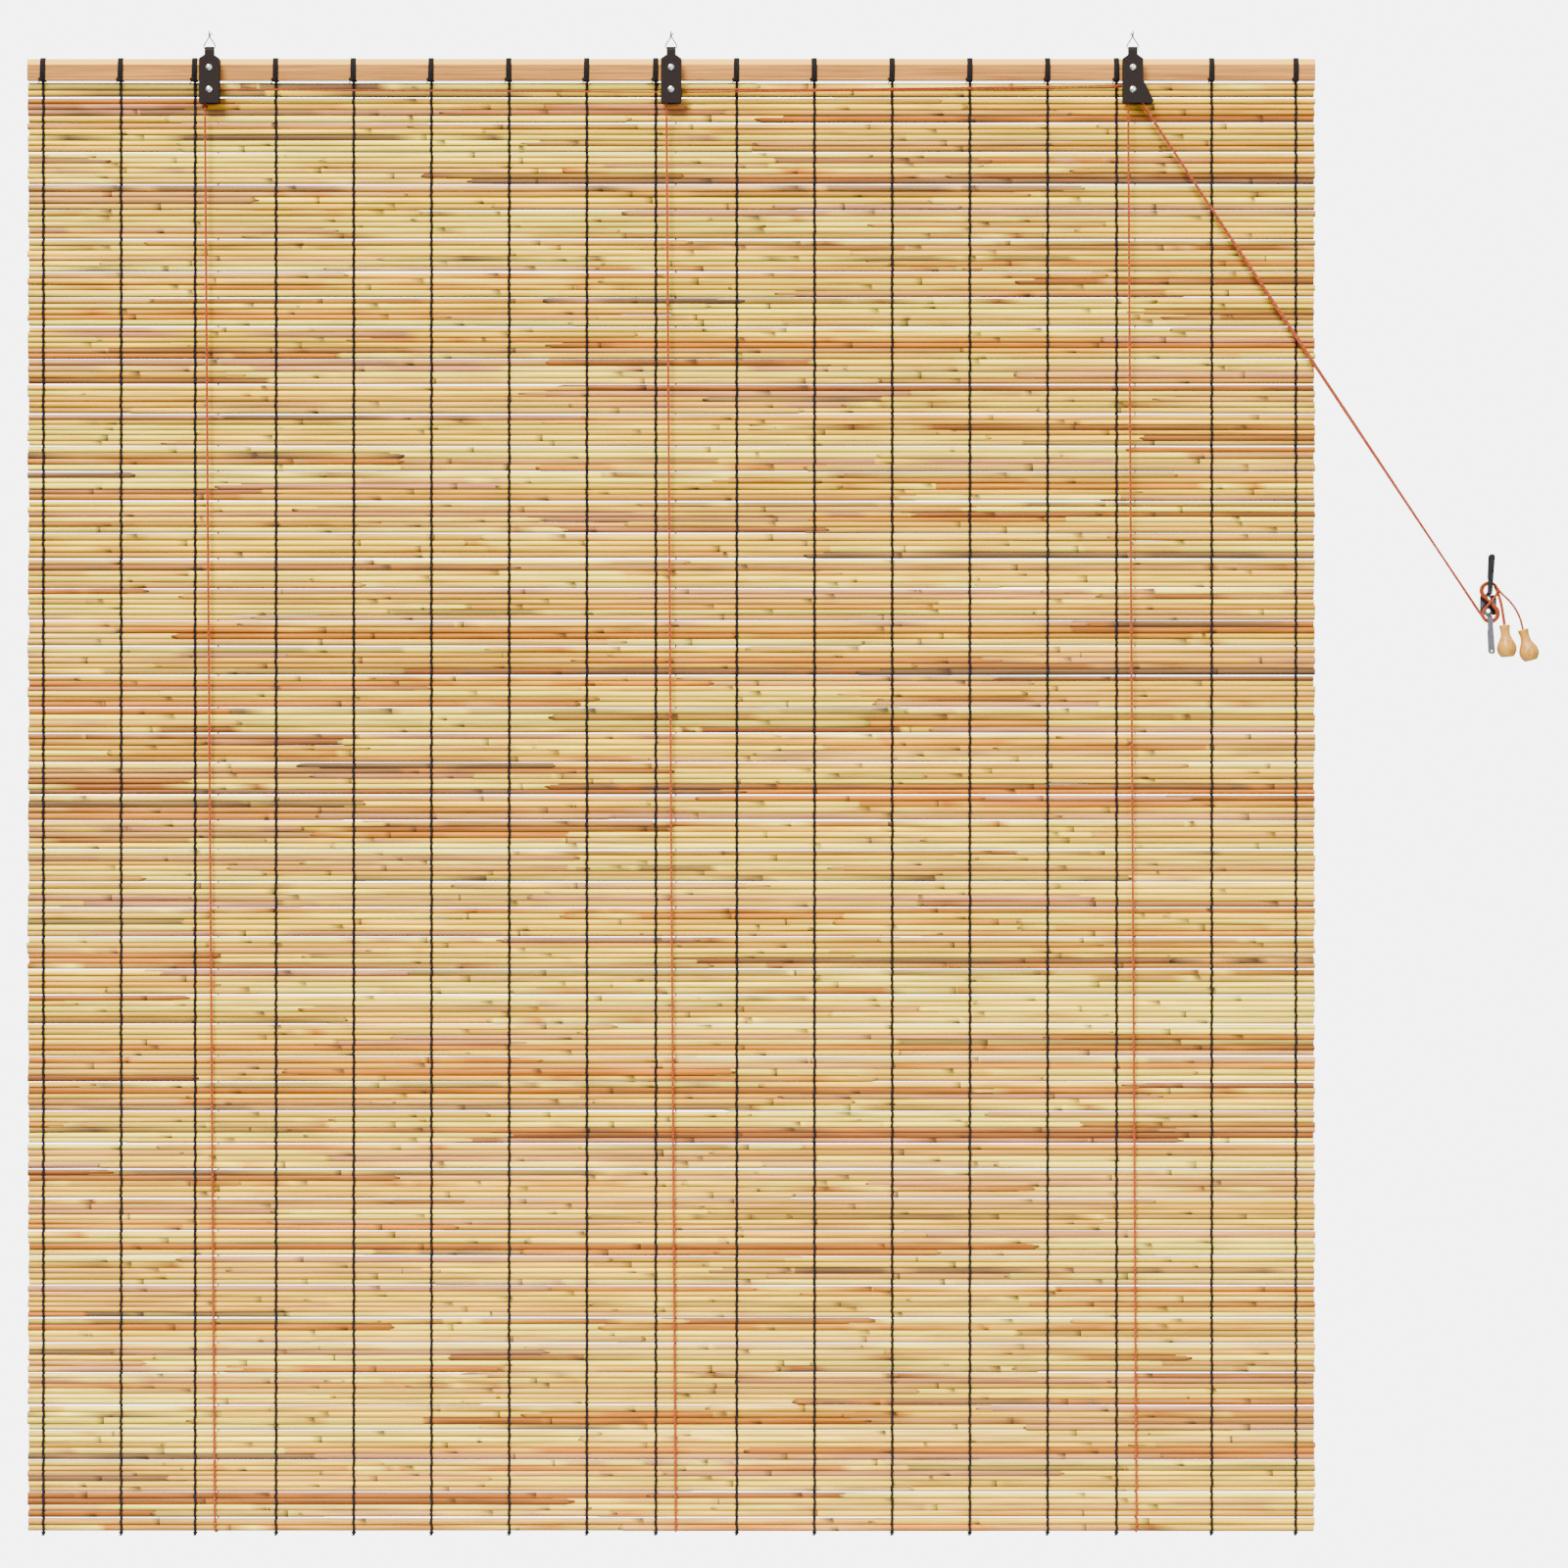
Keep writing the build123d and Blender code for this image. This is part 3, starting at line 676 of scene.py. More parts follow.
@dataclass(frozen=True)
class PlasticFinish:
    """Moulded nylon as it leaves the mould: even and slightly waxy.

    Attributes:
        name: Name of the material.
        colour: Colour of the nylon.
    """

    name: str
    colour: str

    def build(self) -> bpy.types.Material:
        """Make the material.

        Returns:
            The material.
        """
        nodes, shader = blank(self.name)
        nodes.feed(shader, {"Base Color": linear(self.colour), "Roughness": 0.45})
        return nodes.material


Finish = ReedFinish | WoodFinish | CordFinish | MetalFinish | PlasticFinish
# Rust cord colour; its darker colour, used for darker fibres and for painted shade in the twist's valleys;
# and its fuzz.
RUST = ("#96380A", "#521C05", 0.08)


def made_by(finish: Finish) -> bpy.types.Material:
    """Field that holds one finish's material.

    Args:
        finish: The finish.

    Returns:
        The field.
    """
    return field(default_factory=finish.build)


@dataclass
class Finishes:
    """All materials of the blind, made once."""

    reed: bpy.types.Material = made_by(ReedFinish())
    rail: bpy.types.Material = made_by(
        WoodFinish(
            # The last two values paint light on the rail: a lighter colour above -30 mm, along its top bevel.
            "pine_planed_stained", "#AE7430", "#7A4B18", (120.0, 3.0, 1.6), 0.5, 0.5, -0.0300, "#DCA234"
        )
    )
    pull: bpy.types.Material = made_by(
        WoodFinish("beech_turned_varnished", "#B68230", "#906222", (2.2, 2.2, 26.0), 0.4, 0.35)
    )
    black: bpy.types.Material = made_by(CordFinish("binding_cord_twisted_black", "#0E090C", "#040203", 0.02))
    rust: bpy.types.Material = made_by(CordFinish("lift_cord_twisted_rust", *RUST))
    rust_run: bpy.types.Material = made_by(CordFinish("lift_cord_twisted_rust_run", *RUST, 89.4))
    rust_pair: bpy.types.Material = made_by(CordFinish("lift_cord_twisted_rust_pair", *RUST, 5.7))
    rust_tail: bpy.types.Material = made_by(CordFinish("lift_cord_twisted_rust_tail", *RUST, 10.9))
    paint: bpy.types.Material = made_by(
        MetalFinish("steel_sheet_baked_enamel", "#1B1513", 0.0, 0.45, 0.65, 0.03)
    )
    zinc: bpy.types.Material = made_by(MetalFinish("steel_zinc_plated", "#D9D9DC", 1.0, 0.22, 0.4, 0.02))
    wire: bpy.types.Material = made_by(MetalFinish("steel_wire_drawn", "#1E1B1A", 1.0, 0.35, 0.55, 0.01))
    cleat: bpy.types.Material = made_by(
        MetalFinish("steel_sheet_pressed_zinc", "#454447", 1.0, 0.34, 0.44, 0.004)
    )
    nylon: bpy.types.Material = made_by(PlasticFinish("nylon_moulded", "#CFC8B8"))


@dataclass(frozen=True)
class Row:
    """One reed row of the mat, in millimetres.

    Attributes:
        top: Its upper edge.
        tall: Its height.
        crown: Half its depth.
        first: Whether a gap lies above it.
        last: Whether a gap follows below it.
    """

    top: float
    tall: float
    crown: float
    first: bool
    last: bool


@dataclass(frozen=True)
class Station:
    """One section along a reed.

    Attributes:
        x: Its place in millimetres.
        size: Share of the reed's full size.
        colour: Scene-linear colour of the skin.
        mark: Share of the burnt colour on the marked half.
        half: 1 where the upper half is marked, -1 the lower half, 0 both.
    """

    x: float
    size: float
    colour: Vector
    mark: float = 0.0
    half: int = 0


@dataclass
class ReedMat:
    """The reeds, each its own tapering rod with joints, dark cut ends and colours that change along it.

    Attributes:
        top: Upper edge of the mat in millimetres.
        bottom: Lower edge of the mat in millimetres.
        middle_y: Middle of its thickness in millimetres.
        half_width: Half its width in millimetres.
        depth: Depth of the thickest reed in millimetres.
        gap: Height of a see-through gap in millimetres.
        overlap: How far the ends of two reeds in one row pass each other in millimetres.
        seed: Seed of all the unevenness.
        end_bundle: Height of the two reeds above the first gap in millimetres.
        usual_reed: Height of an ordinary reed in millimetres, which fills the last bundle.
        lap: Least and most height of a reed, as a share of its row.
        gap_lap: Least height of a reed's half beside a gap, as a share of its row's half.
        lean: How far a reed's ends stand off its row at most, in millimetres.
        shoulder: Brightness of a reed's upper and lower shoulder, where its neighbours shade it.
        front: Painted shade: brightness of the upper and lower half of its front and back, the lower half
            darker as if lit from above.
        palette: Colours of the skin and how often each one comes.
        burn: Colour of joints and cut ends.
    """

    top: float = -50.05
    bottom: float = -1624.35
    middle_y: float = 11.8
    half_width: float = 700.0
    depth: float = 5.2
    gap: float = 1.4
    overlap: float = 22.0
    seed: int = 41
    end_bundle: float = 14.8
    usual_reed: float = 6.6
    lap: tuple[float, float] = (1.1, 1.28)
    gap_lap: float = 1.0
    lean: float = 0.35
    shoulder: tuple[float, float] = (0.6, 0.05)
    front: tuple[float, float] = (1.0, 0.55)
    palette: tuple[tuple[str, float], ...] = (
        ("#FFDE4A", 4.0),
        ("#F8C42E", 3.0),
        ("#DA9C26", 2.2),
        ("#B86A10", 2.0),
        ("#D09444", 2.0),
        ("#BE7E50", 1.2),
        ("#864C18", 1.4),
        ("#6E4E2C", 0.9),
    )
    burn: str = "#2A1206"

    def rows(self) -> list[Row]:
        """Rows from the top down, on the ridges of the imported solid.

        Returns:
            The rows.
        """
        pitches, counts = (27.6, 32.0, 35.2), (4, 5, 6)
        swell, sink = (1.08, 0.92, 1.04, 0.96), (0.0, 0.35, 0.1, 0.45, 0.2)
        bundles = [(2, self.end_bundle)]
        left = self.top - self.bottom - self.end_bundle - self.gap
        while left > pitches[(len(bundles) - 1) % 3]:
            place = (len(bundles) - 1) % 3
            bundles.append((counts[place], pitches[place] - self.gap))
            left -= pitches[place]
        bundles.append((round(left / self.usual_reed), left))
        made: list[Row] = []
        z = self.top
        for bundle, (count, height) in enumerate(bundles):
            swells = [swell[(reed + bundle) % len(swell)] for reed in range(count)]
            unit = height / sum(swells)
            for reed, one in enumerate(swells):
                crown = self.depth / 2 - sink[(reed + 2 * bundle) % len(sink)]
                made.append(Row(z, unit * one, crown, reed == 0, reed == count - 1))
                z -= unit * one
            z -= self.gap
        return made

    def colour(self, dice: random.Random) -> Vector:
        """One colour of the palette.

        Args:
            dice: Source of the choice.

        Returns:
            Scene-linear red, green and blue.
        """
        codes = [code for code, _ in self.palette]
        return Vector(linear(dice.choices(codes, [weight for _, weight in self.palette])[0])[:3])

    def stations(self, start: float, end: float, dice: random.Random) -> list[Station]:
        """Sections along a reed, with its joints, scars and cut ends.

        Args:
            start: Its left end in millimetres.
            end: Its right end in millimetres.
            dice: Source of its unevenness.

        Returns:
            The sections from left to right.
        """
        main, other = self.colour(dice), self.colour(dice)
        lift = dice.uniform(0.75, 1.1)
        wander = dice.uniform(0.0, 0.35)

        def skin(extra: float = 0.0) -> Vector:
            """Colour between the reed's two colours.

            Args:
                extra: Added share of the second colour.

            Returns:
                The colour.
            """
            return main.lerp(other, max(0.0, min(1.0, wander + extra + dice.uniform(-0.1, 0.1)))) * lift

        made = []
        x = start + dice.uniform(30, 90)
        while x < end - 30:
            made.append(Station(x, dice.uniform(0.97, 1.03), skin()))
            step = dice.uniform(60, 150)
            if dice.random() < 0.35:
                wander = dice.uniform(0.0, 1.0)
                step = dice.uniform(8, 30)
            x += step
        x = start + dice.uniform(60, 280)
        while x < end - 40:
            half = dice.choice((-1, 0, 1))
            dark = dice.uniform(0.8, 1.0)
            reach = dice.uniform(1.2, 2.0) if half == 0 else dice.uniform(3.0, 8.0)
            made.append(Station(x - reach - dice.uniform(4, 12), 1.0, skin()))
            made.append(Station(x - 0.4 * reach, 1.03, skin(), 0.85 * dark, half))
            made.append(Station(x, 1.05, skin(), dark, half))
            made.append(Station(x + 0.5 * reach, 1.0, skin(0.2)))
            x += dice.uniform(170, 340)
        for place, inward in ((start, 1), (end, -1)):
            edge = abs(place) > self.half_width - 3
            length = 1.0 if edge else dice.uniform(3, 10)
            tip = 0.93 if edge else dice.uniform(0.5, 0.8)
            char = 0.3 if edge else dice.uniform(0.6, 1.0)
            made.append(Station(place, tip, skin(), char))
            made.append(Station(place + inward * length * 0.5, (1 + tip) / 2, skin(), 0.7 * char))
            made.append(Station(place + inward * length, 1.0, skin(), 0.15 * char))
        return sorted(made, key=lambda station: station.x)

    def reed(self, draft: Draft, row: Row, start: float, end: float, dice: random.Random) -> None:
        """Add one reed.

        Args:
            draft: Mesh it is added to.
            row: The row it lies in.
            start: Its left end in millimetres.
            end: Its right end in millimetres.
            dice: Source of its unevenness.
        """
        least, most = self.lap
        above = row.tall / 2 * dice.uniform(self.gap_lap if row.first else least, most)
        below = row.tall / 2 * dice.uniform(self.gap_lap if row.last else least, most)
        middle_z = row.top - row.tall / 2
        lean = dice.uniform(-self.lean, self.lean)
        sway = dice.uniform(0, 6.28)
        squareness = dice.uniform(0.85, 1.1)
        proud = dice.uniform(-0.3, 0.15)
        slant = dice.uniform(-0.16, 0.16)
        burn = Vector(linear(self.burn)[:3])
        sides = 8
        before = None
        for station in self.stations(start, end, dice):
            along = (station.x - start) / (end - start)
            drift = lean * (along - 0.5) + 0.16 * math.sin(station.x / 170 + sway)
            deep = proud + slant * (2 * along - 1)
            first = len(draft.points)
            for k in range(sides):
                angle = 2 * math.pi * (k + 0.5) / sides
                c, s = math.cos(angle), math.sin(angle)
                y = math.copysign(abs(c) ** squareness, c) * (row.crown + deep) * min(1.0, station.size + 0.4)
                z = math.copysign(abs(s) ** squareness, s) * (above if s > 0 else below) * station.size
                mark = station.mark if station.half * s >= 0 else 0.25 * station.mark
                skin = station.colour.lerp(burn, mark)
                # Painted shade: the vertex colour is darkened on the shoulders, as shade between neighbours,
                # and on the lower half, as under light from above.
                shade = (self.shoulder if abs(s) > 0.8 else self.front)[0 if s > 0 else 1]
                tint = (*(min(1.0, channel * shade) for channel in skin), 1.0)
                draft.ring([mm(station.x, self.middle_y + y, middle_z + drift + z)], tint)
            if before is None:
                draft.cap(first, sides, False)
            else:
                draft.skin(before, first, sides)
            before = first
        draft.cap(before, sides, True)

    def dress(self, finishes: Finishes) -> list[Row]:
        """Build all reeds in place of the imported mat.

        Args:
            finishes: The materials.

        Returns:
            The rows, for the bindings.
        """
        dice = random.Random(self.seed)
        halves = (Draft(), Draft())
        rows = self.rows()
        for number, row in enumerate(rows):
            draft = halves[2 * number // len(rows)]
            left = -self.half_width + dice.uniform(-0.6, 1.6)
            right = self.half_width - dice.uniform(-0.6, 1.6)
            start = left
            while start < right:
                end = start + dice.choice((260, 420, 620, 900)) * dice.uniform(0.75, 1.3)
                if start == left:
                    end -= dice.uniform(0, 200)
                if end > right - 120:
                    end = right
                self.reed(draft, row, start, end, dice)
                start = end if end == right else end - self.overlap * dice.uniform(0.95, 1.6)
        for draft, name in zip(halves, ("reeds_upper_half", "reeds_lower_half")):
            mat = draft.finish(name, finishes.reed)
            LOG.info("%s: %d faces", name, len(mat.data.polygons))
            seat(mat, "reed_mat")
        return rows


@dataclass
class Bindings:
    """The seventeen black cords that hold the reeds to each other and to the headrail.

    Attributes:
        strand: Thickness of one strand in millimetres.
        flat: Thickness of a strand where the reeds press it, in millimetres.
        pressed: Width of a strand where the reeds press it, in millimetres.
        sway: How far the strands stand to each side in millimetres.
        turns: Turns of a lashing.
        pitch: Distance between its turns in millimetres.
        sides: Points round a strand.
        rail: Headrail section as its front, back, top and bottom in millimetres.
        bevel: Depth and height of the headrail's bevel in millimetres.
    """

    strand: float = 1.5
    flat: float = 1.45
    pressed: float = 3.1
    sway: float = 0.45
    turns: int = 5
    pitch: float = 1.12
    sides: int = 5
    rail: tuple[float, float, float, float] = (5.0, 15.0, -23.95, -46.95)
    bevel: tuple[float, float] = (2.2, 6.4)

    def strand_shape(
        self, across: float, deep: float | None = None
    ) -> Callable[[int, float], list[tuple[float, float]]]:
        """Oval outline for sweeps.

        Args:
            across: Its width in millimetres.
            deep: Its depth in millimetres, or the width.

        Returns:
            The outline function.
        """
        squash = (deep or across) / across
        shape = [(a, b * squash) for a, b in circle(across / 2 * MM, self.sides)]
        return lambda i, travelled: shape

    def twining(self, draft: Draft, x: float, rows: Sequence[Row], mat: ReedMat, dice: random.Random) -> None:
        """Two strands, one before and one behind each reed, that change places from reed to reed.

        Args:
            draft: Mesh they are added to.
            x: Place of the binding in millimetres.
            rows: The reed rows.
            mat: The mat.
            dice: Source of its unevenness.
        """
        for strand in (0, 1):
            path = [mm(x, mat.middle_y - 2, mat.top + 1.5)]
            for i, row in enumerate(rows):
                front = -1 if (i + strand) % 2 == 0 else 1
                slant = 1 if (i // 2 + strand) % 2 == 0 else -1
                reach = row.crown + self.flat / 2 + 0.3
                side = 1 if strand == 0 else -1
                jitter = dice.uniform(-0.2, 0.2)
                marks = ((0.03, 0.72, 0.5 * side), (0.5, 1.0, 0.7 * slant), (0.97, 0.72, -0.5 * side))
                for share, push, across in marks:
                    y = mat.middle_y + front * reach * push
                    path.append(mm(x + self.sway * across + jitter, y, row.top - row.tall * share))
                if row.last:
                    middle_z = row.top - row.tall - mat.gap / 2
                    path.append(mm(x - self.sway * side * 0.5, mat.middle_y, middle_z))
            path.append(mm(x, mat.middle_y, mat.bottom - 1.2))
            draft.sweep(path, self.strand_shape(self.pressed, self.flat), flat=True)

    def lash(self, draft: Draft, x: float, dice: random.Random) -> None:
        """Turns round the headrail, and a knot with its tail at the lower front edge.

        Args:
            draft: Mesh it is added to.
            x: Place of the binding in millimetres.
            dice: Source of its unevenness.
        """
        front, back, top, bottom = self.rail
        deep, tall = self.bevel
        grow = self.strand / 2 + 0.02
        section = [
            (back + grow, top + 0.2),
            (back - 0.3, top + grow),
            (front + deep, top + grow),
            (front - grow * 0.6, top - tall + 0.8),
            (front - grow, top - tall - 0.7),
            (front - grow, bottom + 0.5),
            (front + 0.5, bottom - grow),
            (back - 0.5, bottom - grow),
            (back + grow, bottom + 0.5),
        ]
        path = []
        lean = dice.uniform(0.1, 0.9)
        for turn in range(self.turns):
            for k, (y, z) in enumerate(section):
                along = turn + k / len(section)
                tip = lean * ((z - bottom) / (top - bottom) - 0.5)
                place = x + (along - self.turns / 2) * self.pitch + tip
                path.append(mm(place + dice.uniform(-0.08, 0.08), y, z))
        draft.sweep(path, self.strand_shape(self.strand))
        low_y = front - 1.0
        draft.sweep(
            [
                mm(x - 0.9, low_y, bottom + 3),
                mm(x - 0.4, low_y - 0.1, bottom - 1),
                mm(x, low_y + 2.6, bottom - 2.6),
                mm(x, low_y + 5.2, bottom - 2.2),
            ],
            self.strand_shape(self.strand * 1.3),
        )
        self.knot(draft, x - 2.5, low_y - 0.1, bottom + 0.3, 1.5)
        reach = dice.uniform(-2.6, -1.2)
        draft.sweep(
            [
                mm(x - 2.5, low_y - 0.1, bottom + 0.3),
                mm(x - 3.5, low_y - 0.3, bottom - 1.6),
                mm(x - 3.3 + reach * 0.6, low_y - 0.2, bottom - 3.6),
            ],
            self.strand_shape(self.strand * 0.9),
        )

    def knot(self, draft: Draft, x: float, y: float, z: float, size: float) -> None:
        """Overhand knot, as a small clover loop.

        Args:
            draft: Mesh it is added to.
            x: Its place in millimetres.
            y: Its place in millimetres.
            z: Its place in millimetres.
            size: Radius of the loop in millimetres.
        """
        path = []
        for i in range(19):
            t = 2 * math.pi * i / 18
            path.append(
                mm(
                    x + size * 0.52 * (math.sin(t) + 1.35 * math.sin(2 * t)),
                    y - size * 0.5 * math.sin(3 * t),
                    z + size * 0.5 * (math.cos(t) - 1.35 * math.cos(2 * t)),
                )
            )
        draft.sweep(path, self.strand_shape(self.strand * 1.15))

    def hem(self, draft: Draft, x: float, mat: ReedMat, dice: random.Random) -> None:
        """Knot under the mat, with two cut tails.

        Args:
            draft: Mesh it is added to.
            x: Place of the binding in millimetres.
            mat: The mat.
            dice: Source of its unevenness.
        """
        y = mat.middle_y - 1.0
        z = mat.bottom - 2.6
        self.knot(draft, x, y, z, 1.9)
        for side in (-1, 1):
            reach, fall = (2.2, 2.9) if side < 0 else (0.7, 2.1)
            path = [mm(x, y, z), mm(x + side * reach * 0.6, y - 0.4, z - 1.2)]
            path.append(mm(x + side * reach + dice.uniform(-0.3, 0.3), y - 0.6, z - fall))
            draft.sweep(path, self.strand_shape(self.strand * 0.8))

    def dress(self, rows: Sequence[Row], mat: ReedMat, finishes: Finishes) -> None:
        """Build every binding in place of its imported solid.

        Args:
            rows: The reed rows.
            mat: The mat.
            finishes: The materials.
        """
        dice = random.Random(7)
        for number in range(1, 18):
            name = f"binding_{number:02d}"
            low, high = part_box(name)
            x = (low.x + high.x) / 2 / MM
            draft = Draft()
            self.twining(draft, x, rows, mat, dice)
            self.lash(draft, x, dice)
            self.hem(draft, x, mat, dice)
            seat(draft.finish(f"{name}_cord", finishes.black), name)


@dataclass
class CordRoutes:
    """Routes of the rust coloured cords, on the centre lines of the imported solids, in millimetres.

    Attributes:
        strand: Thickness of a cord.
        rivet_z: Height of the sheaves' axles.
        sheave: Radius of a cord's centre line on a sheave.
        pin: Radius of a cord's centre line on the guide pin.
        past_pin: How far a lift cord goes on past the guide pin.
        pin_place: The guide pin from the right bracket's axle, along X and Z.
        cleat: Centre of the cleat along X and Z.
        upper: Upper loop on the cleat: X, Z from the cleat's centre, and radius.
        lower: Lower loop on the cleat: X, Z from the cleat's centre, and radius.
        winding_y: Middle of the winding.
    """

    strand: float = 1.8
    rivet_z: float = -58.65
    sheave: float = 5.2
    pin: float = 2.7
    past_pin: float = 1.6
    pin_place: tuple[float, float] = (11.9, -11.9)
    cleat: tuple[float, float] = (889.5, -617.0)
    upper: tuple[float, float, float] = (-0.5, 15.2, 8.1)
    lower: tuple[float, float, float] = (0.5, -9.6, 8.75)
    winding_y: float = 8.75

    @staticmethod
    def down(angle: float) -> Vector:
        """Direction that falls to the right.

        Args:
            angle: Its angle from the vertical in degrees.

        Returns:
            The unit vector.
        """
        return Vector((math.sin(math.radians(angle)), 0, -math.cos(math.radians(angle))))

    @staticmethod
    def side(angle: float) -> Vector:
        """Direction square to down(), to the upper right.

        Args:
            angle: The same angle in degrees.

        Returns:
            The unit vector.
        """
        return Vector((math.cos(math.radians(angle)), 0, math.sin(math.radians(angle))))

    def taut_line(self) -> tuple[float, Vector, Vector]:
        """Line of the taut cords between the guide pin and the cleat.

        Returns:
            Its angle from the vertical, its upper end and its lower end in millimetres.
        """
        pin = Vector((Side.RIGHT.x + self.pin_place[0], 0, self.rivet_z + self.pin_place[1]))
        loop = Vector((self.cleat[0] + self.lower[0], 0, self.cleat[1] + self.lower[1]))
        centres = loop - pin
        lean = math.degrees(math.atan2(centres.x, -centres.z))
        angle = lean - math.degrees(math.asin((self.lower[2] - self.pin) / centres.length))
        out = self.side(angle)
        return angle, pin - out * self.pin, loop - out * self.lower[2]

    @staticmethod
    def meet(start: Vector, heading: Vector, other: Vector, other_heading: Vector) -> Vector:
        """Point where two lines of the XZ plane meet.

        Args:
            start: A point on the first line.
            heading: Direction of the first line.
            other: A point on the second line.
            other_heading: Direction of the second line.

        Returns:
            The point.
        """
        across = other_heading.x * heading.z - other_heading.z * heading.x
        gap = other - start
        return start + heading * ((other_heading.x * gap.z - other_heading.z * gap.x) / across)

    def lift(self, side: Side) -> tuple[list[Vector], list[float]]:
        """Corners and radii of one lift cord, from its knot to its end past the guide pin.

        Args:
            side: Which bracket it hangs from.

        Returns:
            Corners and radii in millimetres.
        """
        offset = {"left": 7.6, "middle": 4.8, "right": 3.6}[side.value]
        x, lane = side.x, side.lane
        hem_z = -1625.35
        corners = [
            Vector((x + offset, 6.8, -41.55)),
            Vector((x + offset, 16.2, -41.55)),
            Vector((x + offset, 15.6, hem_z)),
            Vector((x + 4.8, 8.0, hem_z)),
        ]
        radii = [1.2, 3.724, 3.724]
        top_z = self.rivet_z + self.sheave
        centre = Vector((Side.RIGHT.x, 0, self.rivet_z))
        pin = Vector((self.pin_place[0], 0, self.pin_place[1]))
        lean = math.degrees(math.atan2(pin.x, -pin.z))
        first = lean - math.degrees(math.asin((self.sheave + self.pin) / pin.length))
        angle, beside_pin, _ = self.taut_line()
        off = centre + self.side(first) * self.sheave
        bend = self.meet(off, self.down(first), beside_pin, self.down(angle))
        end = beside_pin + self.down(angle) * self.past_pin
        corners.append(Vector((x - self.sheave, lane if side is Side.RIGHT else 0.0, top_z)))
        radii.append(self.sheave)
        shift = Vector((0, lane, 0))
        if side is Side.RIGHT:
            corners.append(self.meet(off, self.down(first), Vector((x, 0, top_z)), Vector((1, 0, 0))) + shift)
        else:
            over = x + self.sheave * math.tan(math.radians(10))
            droop = self.down(70) * 13.0
            corners.append(Vector((over, 0, top_z)))
            corners.append(Vector((over + droop.x, 0.3, top_z + droop.z)))
            radii.extend([self.sheave, 30.0])
            if side is Side.LEFT:
                corners.append(Vector((-22.2, 6.2, -60.1)))
                corners.append(Vector((22.2, 6.2, -60.2)))
                radii.extend([400.0, 400.0])
            else:
                corners.append(Vector((160.32, 0.2, -58.3)))
                radii.append(400.0)
            enter = Vector((479.0, lane, {"left": -55.9, "middle": -54.2}[side.value]))
            corners.append(enter)
            radii.append(60.0)
            gap = centre - enter
            rise = math.atan2(gap.z, gap.x) + math.asin(self.sheave / math.hypot(gap.x, gap.z))
            heading = Vector((math.cos(rise), 0, math.sin(rise)))
            flat = Vector((enter.x, 0, enter.z))
            corners.append(self.meet(flat, heading, off, self.down(first)) + shift)
        radii.append(self.sheave)
        corners.append(bend + shift)
        radii.append(self.pin)
        corners.append(end + shift)
        return corners, radii


@dataclass
class Pull:
    """One turned wooden pull.

    Attributes:
        node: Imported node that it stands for.
        cord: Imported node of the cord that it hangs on.
        top: Centre of its lip in millimetres.
        tilt: Its lean from the vertical in degrees.
    """

    node: str
    cord: str
    top: tuple[float, float, float]
    tilt: float

    def dress(self, finishes: Finishes) -> bpy.types.Object:
        """Turn the pull on a smooth profile with a rounded lip and foot.

        Args:
            finishes: The materials.

        Returns:
            The pull.
        """
        outside = [
            (2.0, 0.3),
            (2.4, 0.05),
            (5.3, 0.0),
            (5.8, -0.25),
            (6.0, -0.8),
            (5.75, -2.4),
            (5.35, -4.6),
            (5.15, -7.0),
            (5.1, -9.5),
            (5.6, -12.4),
            (6.9, -15.4),
            (8.6, -18.6),
            (10.1, -22.0),
            (10.75, -25.2),
            (10.5, -28.2),
            (9.5, -31.0),
            (8.0, -33.4),
            (6.7, -34.7),
            (6.0, -35.0),
            (3.8, -35.0),
            (3.5, -34.7),
            (3.5, -23.0),
            (2.0, -22.9),
            (2.0, 0.3),
        ]
        draft = Draft()
        sides = 40
        turn = Matrix.Rotation(math.radians(-self.tilt), 4, "Y")
        before = None
        for radius, z in outside:
            places = []
            for k in range(sides):
                angle = 2 * math.pi * k / sides
                local = Vector((radius * math.cos(angle), radius * math.sin(angle), z))
                places.append((Vector(self.top) + turn @ local) * MM)
            ring = draft.ring(places, (1, 1, 1, 1))
            if before is not None:
                draft.skin(ring, before, sides)
            before = ring
        return seat(draft.finish(f"{self.node}_turned", finishes.pull, 45.0), self.node)


